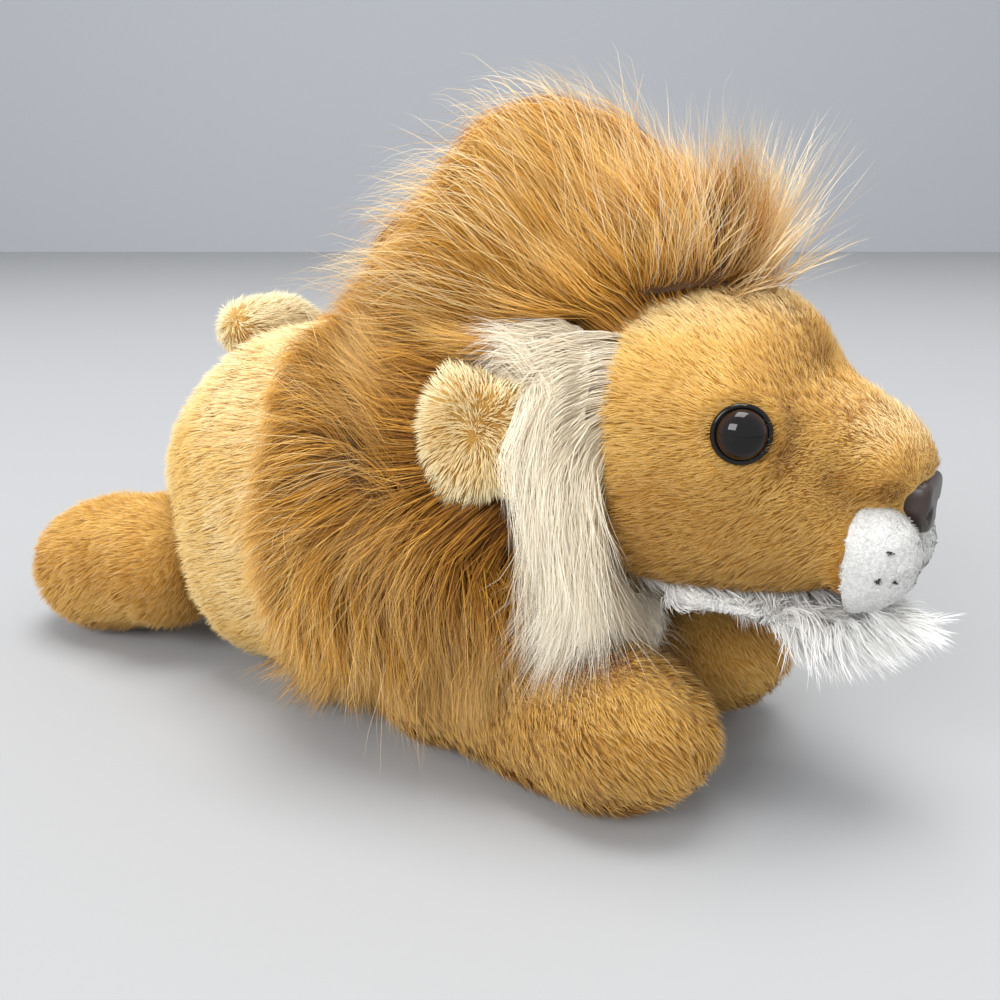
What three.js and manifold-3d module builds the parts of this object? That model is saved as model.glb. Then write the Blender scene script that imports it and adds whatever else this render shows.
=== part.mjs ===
// A plush lion that lies on its belly, modelled piece by piece as it is sewn, stuffed and fitted.
// Lengths are millimetres. X points forward, Y to the lion's left, Z up, and the floor is Z = 0.
import * as THREE from 'three';
import { mergeVertices } from 'three/addons/utils/BufferGeometryUtils.js';
import Module from 'manifold-3d';

const wasm = await Module();
wasm.setup();

// Fits, walls and angles that every piece shares
const clearance = 0.3;
const neckClearance = 0.5;
const skinWall = 2;
const overrun = 6;
const floorPress = 0.5;

// Torso
const rumpReach = 96;
const torsoLength = 152;
const torsoHeight = 103;
const torsoHalfWidth = 47;
const torsoFront = torsoLength - rumpReach;

// Neck ball, which the head nods on, set back from the torso's front
const neckSetBack = 31;
const neckForward = torsoFront - neckSetBack;
const neckHeight = 62;
const neckRadius = 42;
const neckOpeningRadius = 18;
const neckSeamDegrees = 23;
const headLowDegrees = -19;
const headHighDegrees = 114;
const nodDownDegrees = 3;
const nodUpDegrees = 10;
const nodSpareDegrees = 1;

// Head, from its back to the tip of the snout and from the jaw to the crown
const headAheadOfNeck = 9;
const headLength = 95;
const jawHeight = 46;
const headHeight = 72;
const headHalfWidth = 38;
const headBack = neckForward + headAheadOfNeck;
const headFront = headBack + headLength;

// Front legs
const shoulderBehindNeck = 3;
const shoulderSide = 26.5;
const frontLegRadius = 19;
const pawRadius = 22;
const frontLegReach = 75.5;
const leftLegOutDegrees = -3;
const rightLegOutDegrees = 4;
const frontSplayDegrees = 25;

// Hind legs
const hipBehind = 82;
const hipSide = 23.5;
const hipHeight = 28.5;
const hindLegRadius = 22;
const hindPawRadius = 22.5;
const hindLegReach = 56;
const hindLegOutDegrees = 2;
const hindSplayDegrees = 25;

// Seam openings of the limbs
const limbOpeningRadius = 9;

// Tail and its tuft
const tailBehind = 69;
const tailSide = 4;
const tailRootHeight = 96;
const tailRootRadius = 11;
const tailTipRadius = 7;
const tailDrop = 34;
const tailFlankSide = 58;
const tailSweepBack = 9;
const tuftLength = 26;
const tuftRadius = 9.5;
const tuftOverlap = 7;

// Long pile pieces, placed from the neck
const crestBehindNeck = 39;
const crestLength = 108;
const crestRootHeight = 90;
const crestHeight = 65.5;
const crestHalfWidth = 30;
const browTuftAheadOfNeck = 63;
const browTuftHeight = 126;
const browTuftLength = 9.5;
const browTuftHalfWidth = 14;
const browTuftHalfHeight = 16;
const collarBehindNeck = 70;
const collarLength = 98;
const collarHeight = 122;
const collarHalfWidth = 57;
const collarLowHeight = 14;
const ruffAheadOfNeck = 32;
const ruffSide = 31;
const ruffHeight = 78;
const ruffLength = 14;
const ruffDepth = 13.5;
const ruffHalfHeight = 35;
const beardAheadOfNeck = 38;
const beardLength = 69;
const beardLowHeight = 35;
const beardHeight = 19;
const beardHalfWidth = 26;
const bibBehindFront = 7;
const bibHeight = 34;
const bibLength = 22;
const bibHalfWidth = 25;
const bibHalfHeight = 25;

// Ears
const earAheadOfNeck = 24;
const earHingeSide = 38;
const earHeight = 85;
const earHalfHeight = 16.5;
const earReach = 21;
const earHalfThickness = 4.2;
const earOutDegrees = 20;
const earCupDepth = 2.4;
const earHingeForward = neckForward + earAheadOfNeck;

// Muzzle patch on the front of the head
const muzzleDepth = 15;
const muzzleBack = headFront - muzzleDepth;
const muzzleTop = 77;
const muzzleHeight = 63;
const lobeSide = 7.5;
const lobeLength = 15.5;
const lobeHalfWidth = 11.8;
const lobeHalfHeight = 14.2;

// Safety eyes
const eyeRadius = 6;
const eyeRim = 0.9;
const eyeDome = 3.6;
const eyeSink = 1.2;
const eyeStemRadius = 2;
const eyeStemLength = 12;
const eyeForwardDegrees = 26;
const eyeUpDegrees = 7;

// Nose
const noseBehindFront = 1;
const noseHeight = 73.5;
const noseWidth = 16;
const noseTall = 12;
const noseThick = 3.4;
const noseBevel = 1.6;
const nostrilRadius = 1.7;
const noseStemRadius = 2.2;
const noseStemLength = 17;

// Washers that lock the stems inside the head
const washerRadius = 7;
const washerThick = 1.4;
const washerBehindSeat = 1.8;

// Counts of facets and shares for the forms; rows are along, top, bottom and side
const ballSideCount = 24;
const ballRowCount = 16;
const roomSideCount = 20;
const smallSideCount = 14;
const smallRowCount = 10;
const limbBallSideCount = 18;
const limbBallRowCount = 12;
const liningShare = 0.65;
const torsoRowShares = [
  [0, 0.74, 0.2, 0.62], [0.12, 0.89, -0.03, 0.84], [0.25, 0.98, -0.048, 0.98], [0.42, 1, -0.004, 1],
  [0.6, 0.98, -0.006, 0.97], [0.8, 0.9, -0.07, 0.92], [1, 0.72, 0.06, 0.8],
];
const headRowShares = [
  [0, 0.77, 0.18, 0.8], [0.1, 0.885, 0.1, 0.9], [0.25, 0.975, 0.033, 0.98], [0.45, 1, 0.01, 1],
  [0.6, 0.975, 0.017, 0.91], [0.7, 0.893, 0.033, 0.77], [0.8, 0.77, 0.05, 0.63], [0.9, 0.672, 0.115, 0.53],
  [1, 0.59, 0.213, 0.46],
];
const frontLegRowShares = [
  [0, 0.85, 0, 0.85], [0.3, 0.81, 0, 0.81], [0.5, 0.82, 0, 0.82], [0.75, 1, -0.06, 1], [1, 0.95, 0.05, 0.96],
];
const hindLegRowShares = [
  [0, 1.12, 0.16, 0.95], [0.35, 1.08, 0.07, 0.93], [0.7, 1, -0.03, 1], [1, 0.9, 0.04, 0.95],
];
const crestRowShares = [
  [0, 0.554, 0.06, 0.62], [0.22, 0.8, 0.01, 0.85], [0.42, 1, 0.01, 0.97], [0.62, 0.926, 0.06, 1],
  [0.8, 0.752, 0.16, 0.9], [1, 0.505, 0.356, 0.62],
];
const collarRowShares = [
  [0, 0.98, 0, 0.93], [0.3, 1, 0, 1], [0.6, 0.96, 0, 1], [1, 0.85, 0, 0.92],
];
const beardRowShares = [
  [0, 1, 0.716, 0.8], [0.3, 1, 0.602, 1], [0.5, 1, 0.489, 0.9], [0.75, 1, 0.034, 0.66], [1, 1, 0.261, 0.4],
];
const earCupShare = 0.72;
const eyeAlongShare = 0.655;
const eyeAboveMiddleShare = 0.29;
const noseTipShare = 0.34;
const nostrilSideShare = 0.26;
const nostrilDropShare = 0.12;

// Materials
const plain = (name, color, roughness) => {
  return new THREE.MeshStandardMaterial({ name, color, roughness, metalness: 0 });
};
const tanPlush = plain('tan_plush', 0xd6a96a, 0.95);
const brownPile = plain('brown_long_pile', 0xa9743a, 0.95);
const creamPile = plain('cream_long_pile', 0xe9dcc4, 0.95);
const whitePile = plain('white_long_pile', 0xf1ede6, 0.95);
const fibre = plain('polyester_fibre', 0xf4f2ee, 1);
const eyePlastic = plain('eye_plastic', 0x160f0c, 0.08);
const nosePlastic = plain('nose_plastic', 0x33231f, 0.38);
const washerPlastic = plain('washer_plastic', 0xe8e6df, 0.5);

// Solids: meshes become solids to be joined and cut, and come back as geometry
function toSolid(geometry) {
  const bare = geometry.index ? geometry.toNonIndexed() : geometry.clone();
  for (const name of ['normal', 'uv']) bare.deleteAttribute(name);
  const welded = mergeVertices(bare);
  return new wasm.Manifold(new wasm.Mesh({
    numProp: 3,
    vertProperties: new Float32Array(welded.attributes.position.array),
    triVerts: new Uint32Array(welded.index.array),
  }));
}

function toMesh(name, solid, material) {
  const { vertProperties, triVerts } = solid.getMesh();
  const geometry = new THREE.BufferGeometry();
  geometry.setAttribute('position', new THREE.BufferAttribute(vertProperties, 3));
  geometry.setIndex(new THREE.BufferAttribute(triVerts, 1));
  geometry.computeVertexNormals();
  const mesh = new THREE.Mesh(geometry, material);
  mesh.name = name;
  return mesh;
}

const unite = (...solids) => solids.reduce((whole, solid) => whole.add(solid));
const without = (solid, ...cutters) => cutters.reduce((rest, cutter) => rest.subtract(cutter), solid);
const radians = THREE.MathUtils.degToRad;
const bothSides = [['left', 1], ['right', -1]];

function ball(centre, radius, around = smallSideCount, up = smallRowCount) {
  return toSolid(new THREE.SphereGeometry(radius, around, up).translate(...centre));
}

function ellipsoid(centre, radii, around = smallSideCount, up = smallRowCount) {
  return toSolid(new THREE.SphereGeometry(1, around, up).scale(...radii).translate(...centre));
}

function block(low, high) {
  const size = low.map((value, axis) => high[axis] - value);
  const middle = low.map((value, axis) => (high[axis] + value) / 2);
  return toSolid(new THREE.BoxGeometry(...size).translate(...middle));
}

// A rod stands on its axis, the Y axis, from a low to a high end
function rod(radius, low, high, place = new THREE.Matrix4(), around = smallSideCount) {
  const cylinder = new THREE.CylinderGeometry(radius, radius, high - low, around);
  return toSolid(cylinder.translate(0, (high + low) / 2, 0).applyMatrix4(place));
}

// Rings of points, each as long as the next, become one closed body with a pole at each end
function closedLoft(rings, startPole, endPole) {
  const around = rings[0].length;
  const points = [startPole, ...rings.flat(), endPole];
  const faces = [];
  for (let k = 0; k < around; k++) {
    const next = (k + 1) % around;
    faces.push(0, 1 + next, 1 + k);
    for (let row = 0; row < rings.length - 1; row++) {
      const here = 1 + row * around;
      const ahead = here + around;
      faces.push(here + k, here + next, ahead + next, here + k, ahead + next, ahead + k);
    }
    const last = 1 + (rings.length - 1) * around;
    faces.push(last + k, last + next, points.length - 1);
  }
  const geometry = new THREE.BufferGeometry().setFromPoints(points);
  geometry.setIndex(faces);
  return geometry;
}

const power = (value, exponent) => Math.sign(value) * Math.abs(value) ** exponent;

// A stuffed form swells and tapers along X: a table of shares gives its top, bottom and side,
// and both of its ends round off. An inset shrinks it evenly, for the inside of a skin.
function stuffedForm(form, inset = 0) {
  const { back, length, height, halfWidth, base = 0, rowShares, endPower, sectionPower } = form;
  const steps = inset > 0 ? Math.round(form.steps * liningShare) : form.steps;
  const around = inset > 0 ? Math.round(form.around * liningShare) : form.around;
  const table = new THREE.CubicInterpolant(
    rowShares.map((row) => row[0]), rowShares.flatMap((row) => row.slice(1)), rowShares[0].length - 1);
  const middleAt = (share) => {
    const [top, bottom] = table.evaluate(share);
    return base + height * (top + bottom) / 2;
  };
  const rings = [];
  for (let step = 1; step < steps; step++) {
    const share = (1 - Math.cos(Math.PI * step / steps)) / 2;
    const [top, bottom, side] = table.evaluate(share);
    const round = (1 - Math.abs(2 * share - 1) ** endPower) ** (1 / endPower);
    const halfHeight = round * (height * (top - bottom) / 2 - inset);
    const wide = round * (halfWidth * side - inset);
    const x = back + inset + share * (length - 2 * inset);
    rings.push(Array.from({ length: around }, (_, k) => {
      const angle = 2 * Math.PI * k / around;
      const y = wide * power(Math.cos(angle), 2 / sectionPower);
      const z = middleAt(share) + halfHeight * power(Math.sin(angle), 2 / sectionPower);
      return new THREE.Vector3(x, y, z);
    }));
  }
  const startPole = new THREE.Vector3(back + inset, 0, middleAt(0));
  const endPole = new THREE.Vector3(back + length - inset, 0, middleAt(1));
  return closedLoft(rings, startPole, endPole);
}

// Where a form's surface lies: its side at a share of its length and of its half height
function sideOfForm(form, alongShare, aboveMiddleShare) {
  const { rowShares, halfWidth, height, base, back, length, endPower, sectionPower } = form;
  const table = new THREE.CubicInterpolant(
    rowShares.map((row) => row[0]), rowShares.flatMap((row) => row.slice(1)), rowShares[0].length - 1);
  const [top, bottom, side] = table.evaluate(alongShare);
  const round = (1 - Math.abs(2 * alongShare - 1) ** endPower) ** (1 / endPower);
  const y = round * halfWidth * side * (1 - aboveMiddleShare ** sectionPower) ** (1 / sectionPower);
  const z = base + height * (top + bottom + aboveMiddleShare * round * (top - bottom)) / 2;
  return new THREE.Vector3(back + alongShare * length, y, z);
}

// The neck: what nods stays in a fan about the neck axis, and the torso keeps out of a wider one
const neckCentre = [neckForward, 0, neckHeight];

function fan(lowDegrees, highDegrees, grow) {
  const low = radians(lowDegrees);
  const high = radians(highDegrees);
  const bisector = (low + high) / 2;
  const shift = grow / Math.sin((high - low) / 2);
  const apex = new THREE.Vector2(neckForward, neckHeight).sub(
    new THREE.Vector2(Math.cos(bisector), Math.sin(bisector)).multiplyScalar(shift));
  const reach = 2 * torsoLength;
  const outline = new THREE.Shape([apex]);
  const steps = 6;
  for (let step = 0; step <= steps; step++) {
    const angle = low + (high - low) * step / steps;
    outline.lineTo(apex.x + reach * Math.cos(angle), apex.y + reach * Math.sin(angle));
  }
  const wide = 2 * reach;
  const prism = new THREE.ExtrudeGeometry(outline, { depth: wide, bevelEnabled: false });
  return toSolid(prism.translate(0, 0, -wide / 2).rotateX(Math.PI / 2));
}

const headZone = fan(headLowDegrees, headHighDegrees, 0);
const headRoom = (grow) => fan(
  headLowDegrees - nodDownDegrees - nodSpareDegrees, headHighDegrees + nodUpDegrees + nodSpareDegrees, grow);
const neckBall = (grow, around = ballSideCount, up = ballRowCount) => ball(
  neckCentre, neckRadius + grow, around, up);
const neckLining = (grow) => neckBall(
  grow, Math.round(ballSideCount * liningShare), Math.round(ballRowCount * liningShare));
const neckSeamPlace = new THREE.Matrix4()
  .makeRotationY(-radians(neckSeamDegrees)).setPosition(...neckCentre)
  .multiply(new THREE.Matrix4().makeRotationZ(-Math.PI / 2));
const neckOpening = rod(
  neckOpeningRadius, neckRadius / 2, neckRadius + headLength / 4, neckSeamPlace, roomSideCount);

function floor(level) {
  const reach = 2 * torsoLength;
  return block([-reach, -reach, -reach], [reach, reach, level]);
}

// Limbs: a ball in a room of the torso, and a form that swells and tapers to the paw
const limbBall = (radius, countShare) => ball(
  [0, 0, 0], radius, Math.round(limbBallSideCount * countShare), Math.round(limbBallRowCount * countShare));

function limb({ radius, rise, pawSize, reach, rowShares }) {
  const form = {
    back: -radius / 2, length: reach + radius / 2, height: 2 * pawSize, halfWidth: pawSize,
    base: -rise - floorPress, rowShares, steps: 9, around: 14, sectionPower: 2.1, endPower: 2.2,
  };
  const shape = (inset) => without(
    unite(limbBall(radius - inset, inset > 0 ? liningShare : 1), toSolid(stuffedForm(form, inset))),
    floor(inset - rise));
  const opening = rod(limbOpeningRadius, radius / 2, radius + overrun,
    new THREE.Matrix4().makeRotationZ(Math.PI / 2), smallSideCount);
  return {
    skin: without(shape(0), shape(skinWall), opening),
    stuffing: shape(skinWall + clearance),
    rise,
    top: Math.max(rise + radius, 2 * pawSize - floorPress),
  };
}

const frontLimb = limb({
  radius: frontLegRadius, rise: frontLegRadius - floorPress, pawSize: pawRadius,
  reach: frontLegReach, rowShares: frontLegRowShares,
});
const hindLimb = limb({
  radius: hindLegRadius, rise: hipHeight, pawSize: hindPawRadius,
  reach: hindLegReach, rowShares: hindLegRowShares,
});
const frontOutDegrees = (side) => (side > 0 ? leftLegOutDegrees : rightLegOutDegrees);

function limbGroup(name, pieces, place) {
  const group = new THREE.Group();
  group.position.copy(place.position);
  group.rotation.z = place.turn;
  group.add(toMesh(`${name}_skin`, pieces.skin, tanPlush));
  group.add(toMesh(`${name}_stuffing`, pieces.stuffing, fibre));
  return group;
}

const frontPlace = (side) => ({
  position: new THREE.Vector3(neckForward - shoulderBehindNeck, side * shoulderSide, frontLimb.rise),
  turn: side * radians(frontOutDegrees(side)),
});
const hindPlace = (side) => ({
  position: new THREE.Vector3(-hipBehind, side * hipSide, hindLimb.rise),
  turn: Math.PI - side * radians(hindLegOutDegrees),
});

// The room that a limb turns in: round behind its ball, straight along its inner flank at rest,
// and open outwards as far as the outer flank goes when the limb is splayed
function limbRoom({ place, inwards, radius, innerReach, splayDegrees, top, grow }) {
  const round = radius + clearance + grow;
  const splay = radians(splayDegrees);
  const reach = torsoLength;
  const outline = new THREE.Shape();
  const steps = roomSideCount / 2;
  const sweep = Math.PI - splay - Math.asin(grow / round);
  for (let step = 0; step <= steps; step++) {
    const angle = -Math.PI / 2 - splay - sweep * step / steps;
    const point = [round * Math.cos(angle), inwards * round * Math.sin(angle)];
    if (step === 0) outline.moveTo(...point);
    else outline.lineTo(...point);
  }
  outline.lineTo(-grow, inwards * (innerReach + grow));
  outline.lineTo(reach, inwards * (innerReach + grow));
  outline.lineTo(reach, -inwards * reach);
  outline.lineTo(
    reach * Math.cos(splay) - round * Math.sin(splay),
    -inwards * (reach * Math.sin(splay) + round * Math.cos(splay)));
  const depth = top + clearance + grow + overrun;
  const prism = new THREE.ExtrudeGeometry(outline, { depth, bevelEnabled: false });
  const turned = new THREE.Matrix4().makeRotationZ(place.turn);
  turned.setPosition(place.position.x, place.position.y, -overrun);
  return toSolid(prism.applyMatrix4(turned));
}

const frontRooms = (grow) => unite(...bothSides.map(([, side]) => limbRoom({
  place: frontPlace(side), inwards: -side, radius: frontLegRadius, innerReach: pawRadius + clearance,
  splayDegrees: frontSplayDegrees, top: frontLimb.top, grow,
})));
const hindRooms = (grow) => unite(...bothSides.map(([, side]) => limbRoom({
  place: hindPlace(side), inwards: side, radius: hindLegRadius, innerReach: hipSide + overrun,
  splayDegrees: hindSplayDegrees, top: hindLimb.top, grow,
})));

// Tail: a ball on the rump, an arch over it and a taper down the far flank
const tailRoot = new THREE.Vector3(-tailBehind, tailSide, tailRootHeight);
const tailPath = new THREE.CatmullRomCurve3([
  tailRoot,
  tailRoot.clone().add(
    new THREE.Vector3(-tailSweepBack / 4, tailRootRadius + tailTipRadius, tailRootRadius / 8)),
  new THREE.Vector3(
    -tailBehind - tailSweepBack / 2, (tailFlankSide + tailRootRadius) * 2 / 3, tailRootHeight - tailDrop / 3),
  new THREE.Vector3(-tailBehind - tailSweepBack, tailFlankSide, tailRootHeight - tailDrop),
]);

function tailSolid(grow) {
  const steps = 8;
  const around = 10;
  const frames = tailPath.computeFrenetFrames(steps, false);
  const rings = frames.tangents.map((tangent, step) => {
    const share = step / steps;
    const radius = THREE.MathUtils.lerp(tailRootRadius, tailTipRadius, Math.min(1, 2 * share)) + grow;
    const centre = tailPath.getPointAt(share);
    return Array.from({ length: around }, (_, k) => {
      const angle = 2 * Math.PI * k / around;
      return centre.clone()
        .addScaledVector(frames.normals[step], radius * Math.cos(angle))
        .addScaledVector(frames.binormals[step], radius * Math.sin(angle));
    });
  });
  const tipEnd = tailPath.getPointAt(1).addScaledVector(frames.tangents[steps], tailTipRadius / 2 + grow);
  return unite(
    toSolid(closedLoft(rings, tailPath.getPointAt(0), tipEnd)),
    ball(tailRoot.toArray(), tailRootRadius + grow));
}

const tailRoom = (grow) => ball(tailRoot.toArray(), tailRootRadius + clearance + grow);

// Torso
const torsoForm = {
  back: -rumpReach, length: torsoLength, height: torsoHeight + floorPress, base: -floorPress,
  halfWidth: torsoHalfWidth, rowShares: torsoRowShares, steps: 11, around: 20,
  sectionPower: 2.3, endPower: 2.3,
};

function torsoShape(inset) {
  const trunk = without(toSolid(stuffedForm(torsoForm, inset)), headRoom(inset));
  const whole = unite(trunk, inset > 0 ? neckLining(-inset) : neckBall(0));
  return without(whole, frontRooms(inset), hindRooms(inset), tailRoom(inset), floor(inset));
}

const torsoOutside = torsoShape(0);
const torsoSkin = () => without(torsoOutside, torsoShape(skinWall), neckOpening);
const torsoStuffing = () => torsoShape(skinWall + clearance);

// Head
const headForm = {
  back: headBack, length: headLength, height: headHeight, base: jawHeight, halfWidth: headHalfWidth,
  rowShares: headRowShares, steps: 12, around: 22, sectionPower: 2.15, endPower: 3.4,
};

function muzzleRoom(grow) {
  const reach = 2 * torsoLength;
  return block([muzzleBack - clearance - grow, -reach, -reach], [reach, reach, muzzleTop + clearance + grow]);
}

const headShape = (inset) => without(
  toSolid(stuffedForm(headForm, inset)), muzzleRoom(inset),
  inset > 0 ? neckLining(neckClearance + inset) : neckBall(neckClearance));
const headOutside = headShape(0);
const headGrown = toSolid(stuffedForm(headForm, -clearance));

// Safety eyes, seen in a frame whose Y axis looks out of the head
function eyePlace(side) {
  const out = radians(eyeForwardDegrees);
  const up = radians(eyeUpDegrees);
  const normal = new THREE.Vector3(
    Math.sin(out) * Math.cos(up), side * Math.cos(out) * Math.cos(up), Math.sin(up));
  const seat = sideOfForm(headForm, eyeAlongShare, eyeAboveMiddleShare);
  seat.y *= side;
  seat.addScaledVector(normal, -eyeSink);
  const turn = new THREE.Quaternion().setFromUnitVectors(new THREE.Vector3(0, 1, 0), normal);
  return new THREE.Matrix4().compose(seat, turn, new THREE.Vector3(1, 1, 1));
}

function eyeGeometry() {
  const profile = [
    new THREE.Vector2(0, -eyeStemLength), new THREE.Vector2(eyeStemRadius, -eyeStemLength),
    new THREE.Vector2(eyeStemRadius, 0), new THREE.Vector2(eyeRadius, 0),
  ];
  const steps = 6;
  for (let step = 0; step <= steps; step++) {
    const angle = Math.PI / 2 * step / steps;
    profile.push(new THREE.Vector2(
      step < steps ? eyeRadius * Math.cos(angle) : 0, eyeRim + eyeDome * Math.sin(angle)));
  }
  return new THREE.LatheGeometry(profile, smallSideCount);
}

function washerGeometry(stemRadius) {
  const bore = stemRadius + clearance;
  const low = -washerBehindSeat - washerThick;
  const profile = [
    new THREE.Vector2(bore, low), new THREE.Vector2(washerRadius, low),
    new THREE.Vector2(washerRadius, -washerBehindSeat), new THREE.Vector2(bore, -washerBehindSeat),
    new THREE.Vector2(bore, low),
  ];
  return new THREE.LatheGeometry(profile, smallSideCount);
}

function hardwareRoom(place, stemRadius, stemLength, seatRadius) {
  const washerLow = -washerBehindSeat - washerThick - clearance;
  return unite(
    rod(seatRadius + clearance, -clearance, seatRadius + overrun, place, roomSideCount),
    rod(stemRadius + clearance, -stemLength - clearance, 0, place),
    rod(washerRadius + clearance, washerLow, 0, place));
}

const eyeRooms = unite(...bothSides.map(([, side]) => {
  return hardwareRoom(eyePlace(side), eyeStemRadius, eyeStemLength, eyeRadius);
}));

function placed(name, geometry, material, place) {
  const mesh = toMesh(name, toSolid(geometry), material);
  mesh.applyMatrix4(place);
  return mesh;
}

// Nose: a moulded triangle with round corners, two nostrils and a stem behind
function noseOutline(grow) {
  const wide = noseWidth / 2 - noseBevel + grow;
  const tall = noseTall / 2 - noseBevel + grow;
  const tip = wide * noseTipShare;
  const outline = new THREE.Shape();
  outline.moveTo(-tip, -tall);
  outline.quadraticCurveTo(0, -tall - noseBevel / 2, tip, -tall);
  outline.bezierCurveTo(wide * 2 / 3, -tall / 2, wide, 0, wide, tall * 2 / 3);
  outline.quadraticCurveTo(wide, tall, wide * 2 / 3, tall);
  outline.quadraticCurveTo(0, tall + noseBevel / 2, -wide * 2 / 3, tall);
  outline.quadraticCurveTo(-wide, tall, -wide, tall * 2 / 3);
  outline.bezierCurveTo(-wide, 0, -wide * 2 / 3, -tall / 2, -tip, -tall);
  return outline;
}

const noseBack = headFront - noseBehindFront - noseThick - 2 * noseBevel;
const nosePlace = new THREE.Matrix4()
  .makeBasis(new THREE.Vector3(0, 1, 0), new THREE.Vector3(0, 0, 1), new THREE.Vector3(1, 0, 0))
  .setPosition(noseBack, 0, noseHeight);
const noseStemTurn = new THREE.Matrix4().makeRotationX(Math.PI / 2);

function noseBody(grow) {
  const pad = new THREE.ExtrudeGeometry(noseOutline(grow), {
    depth: noseThick, bevelThickness: noseBevel, bevelSize: noseBevel, bevelSegments: 2, curveSegments: 3,
  });
  return toSolid(pad.translate(0, 0, noseBevel));
}

function noseSolid() {
  const front = noseThick + 2 * noseBevel;
  const nostrils = bothSides.map(([, side]) => ball(
    [side * noseWidth * nostrilSideShare, -noseTall * nostrilDropShare, front], nostrilRadius));
  const stem = rod(noseStemRadius, -noseStemLength, noseBevel, noseStemTurn);
  return without(unite(noseBody(0), stem), ...nostrils);
}

const washerPlace = new THREE.Matrix4()
  .makeBasis(new THREE.Vector3(0, 1, 0), new THREE.Vector3(1, 0, 0), new THREE.Vector3(0, 0, -1))
  .setPosition(muzzleBack - clearance - skinWall + washerBehindSeat - clearance, 0, noseHeight);

function noseRoom() {
  const seat = noseBody(clearance).transform(nosePlace.clone().toArray());
  const ahead = noseBody(clearance).transform(
    nosePlace.clone().multiply(new THREE.Matrix4().makeTranslation(0, 0, noseThick)).toArray());
  const stem = rod(noseStemRadius + clearance, -noseStemLength - clearance, 0,
    nosePlace.clone().multiply(noseStemTurn));
  const washer = rod(washerRadius + clearance, -washerBehindSeat - washerThick - clearance,
    0, washerPlace);
  return unite(seat, ahead, stem, washer);
}

const noseHole = noseRoom();
const headSkin = () => without(headOutside, headShape(skinWall), neckOpening, eyeRooms, noseHole);
const headStuffing = () => without(headShape(skinWall + clearance), eyeRooms, noseHole);

// Muzzle: two round lobes of looped pile with a cleft between them
const lobes = (grow) => unite(...bothSides.map(([, side]) => ellipsoid(
  [headFront - lobeLength, side * lobeSide, muzzleHeight],
  [lobeLength + grow, lobeHalfWidth + grow, lobeHalfHeight + grow])));

function muzzlePatch() {
  const reach = 2 * torsoLength;
  const front = block([muzzleBack, -reach, -reach], [reach, reach, muzzleTop]);
  return without(lobes(0).intersect(front), noseHole);
}

// Long pile pieces
const crestForm = {
  back: neckForward - crestBehindNeck, length: crestLength, height: crestHeight, base: crestRootHeight,
  halfWidth: crestHalfWidth, rowShares: crestRowShares, steps: 10, around: 14,
  sectionPower: 1.9, endPower: 2.2,
};
const browTuft = () => ellipsoid(
  [neckForward + browTuftAheadOfNeck, 0, browTuftHeight],
  [browTuftLength, browTuftHalfWidth, browTuftHalfHeight]);

function crestSolid() {
  const pile = unite(toSolid(stuffedForm(crestForm)), browTuft());
  return without(pile.intersect(headZone), headGrown, neckBall(neckClearance));
}

const collarForm = {
  back: neckForward - collarBehindNeck, length: collarLength, height: collarHeight,
  halfWidth: collarHalfWidth, rowShares: collarRowShares, steps: 9, around: 20,
  sectionPower: 2.3, endPower: 2.6,
};

function collarSolid() {
  const torsoGrown = unite(toSolid(stuffedForm(torsoForm, -clearance)), neckBall(clearance));
  const throat = block([neckForward, -shoulderSide, 0], [torsoLength, shoulderSide, frontLimb.top]);
  return without(
    toSolid(stuffedForm(collarForm)), torsoGrown, headRoom(0), frontRooms(0), floor(collarLowHeight), throat);
}

const ruffShape = (side, grow) => ellipsoid(
  [neckForward + ruffAheadOfNeck, side * ruffSide, ruffHeight],
  [ruffLength + grow, ruffDepth + grow, ruffHalfHeight + grow]);

function ruffSolid(side) {
  const reach = 2 * torsoLength;
  const behindEar = block([-reach, -reach, -reach], [earHingeForward, reach, reach]);
  const earRoot = rod(earHalfThickness + clearance, -earHalfHeight - overrun, earHalfHeight + overrun,
    earHingePlace(side));
  const crestGrown = toSolid(stuffedForm(crestForm, -clearance));
  const pad = without(
    ruffShape(side, 0), headGrown, neckBall(neckClearance), crestGrown, behindEar, earRoot);
  return pad.intersect(headZone);
}

function earHingePlace(side) {
  return new THREE.Matrix4().makeRotationX(Math.PI / 2)
    .setPosition(earHingeForward, side * earHingeSide, earHeight);
}

function earSolid() {
  const rootHalf = earHalfHeight * earCupShare;
  const flap = ellipsoid([-earReach / 2, 0, 0], [earReach / 2, earHalfThickness, earHalfHeight]);
  const cup = ellipsoid(
    [-earReach / 2, earHalfThickness + earCupDepth, 0],
    [earReach / 2 * earCupShare, earCupDepth * 2, earHalfHeight * earCupShare]);
  const root = rod(earHalfThickness, -rootHalf, rootHalf, new THREE.Matrix4().makeRotationX(Math.PI / 2));
  return without(unite(flap, root), cup);
}

function earGroup(name, side) {
  const group = new THREE.Group();
  group.position.set(earHingeForward, side * earHingeSide, earHeight);
  group.rotation.set(side > 0 ? 0 : Math.PI, 0, -radians(earOutDegrees));
  group.add(toMesh(name, earSolid(), tanPlush));
  return group;
}

const beardForm = {
  back: neckForward + beardAheadOfNeck, length: beardLength, height: beardHeight, base: beardLowHeight,
  halfWidth: beardHalfWidth, rowShares: beardRowShares, steps: 8, around: 12, sectionPower: 2, endPower: 2.2,
};
const beardSolid = () => without(
  toSolid(stuffedForm(beardForm)).intersect(headZone), headGrown, lobes(clearance), neckBall(neckClearance));

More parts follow.
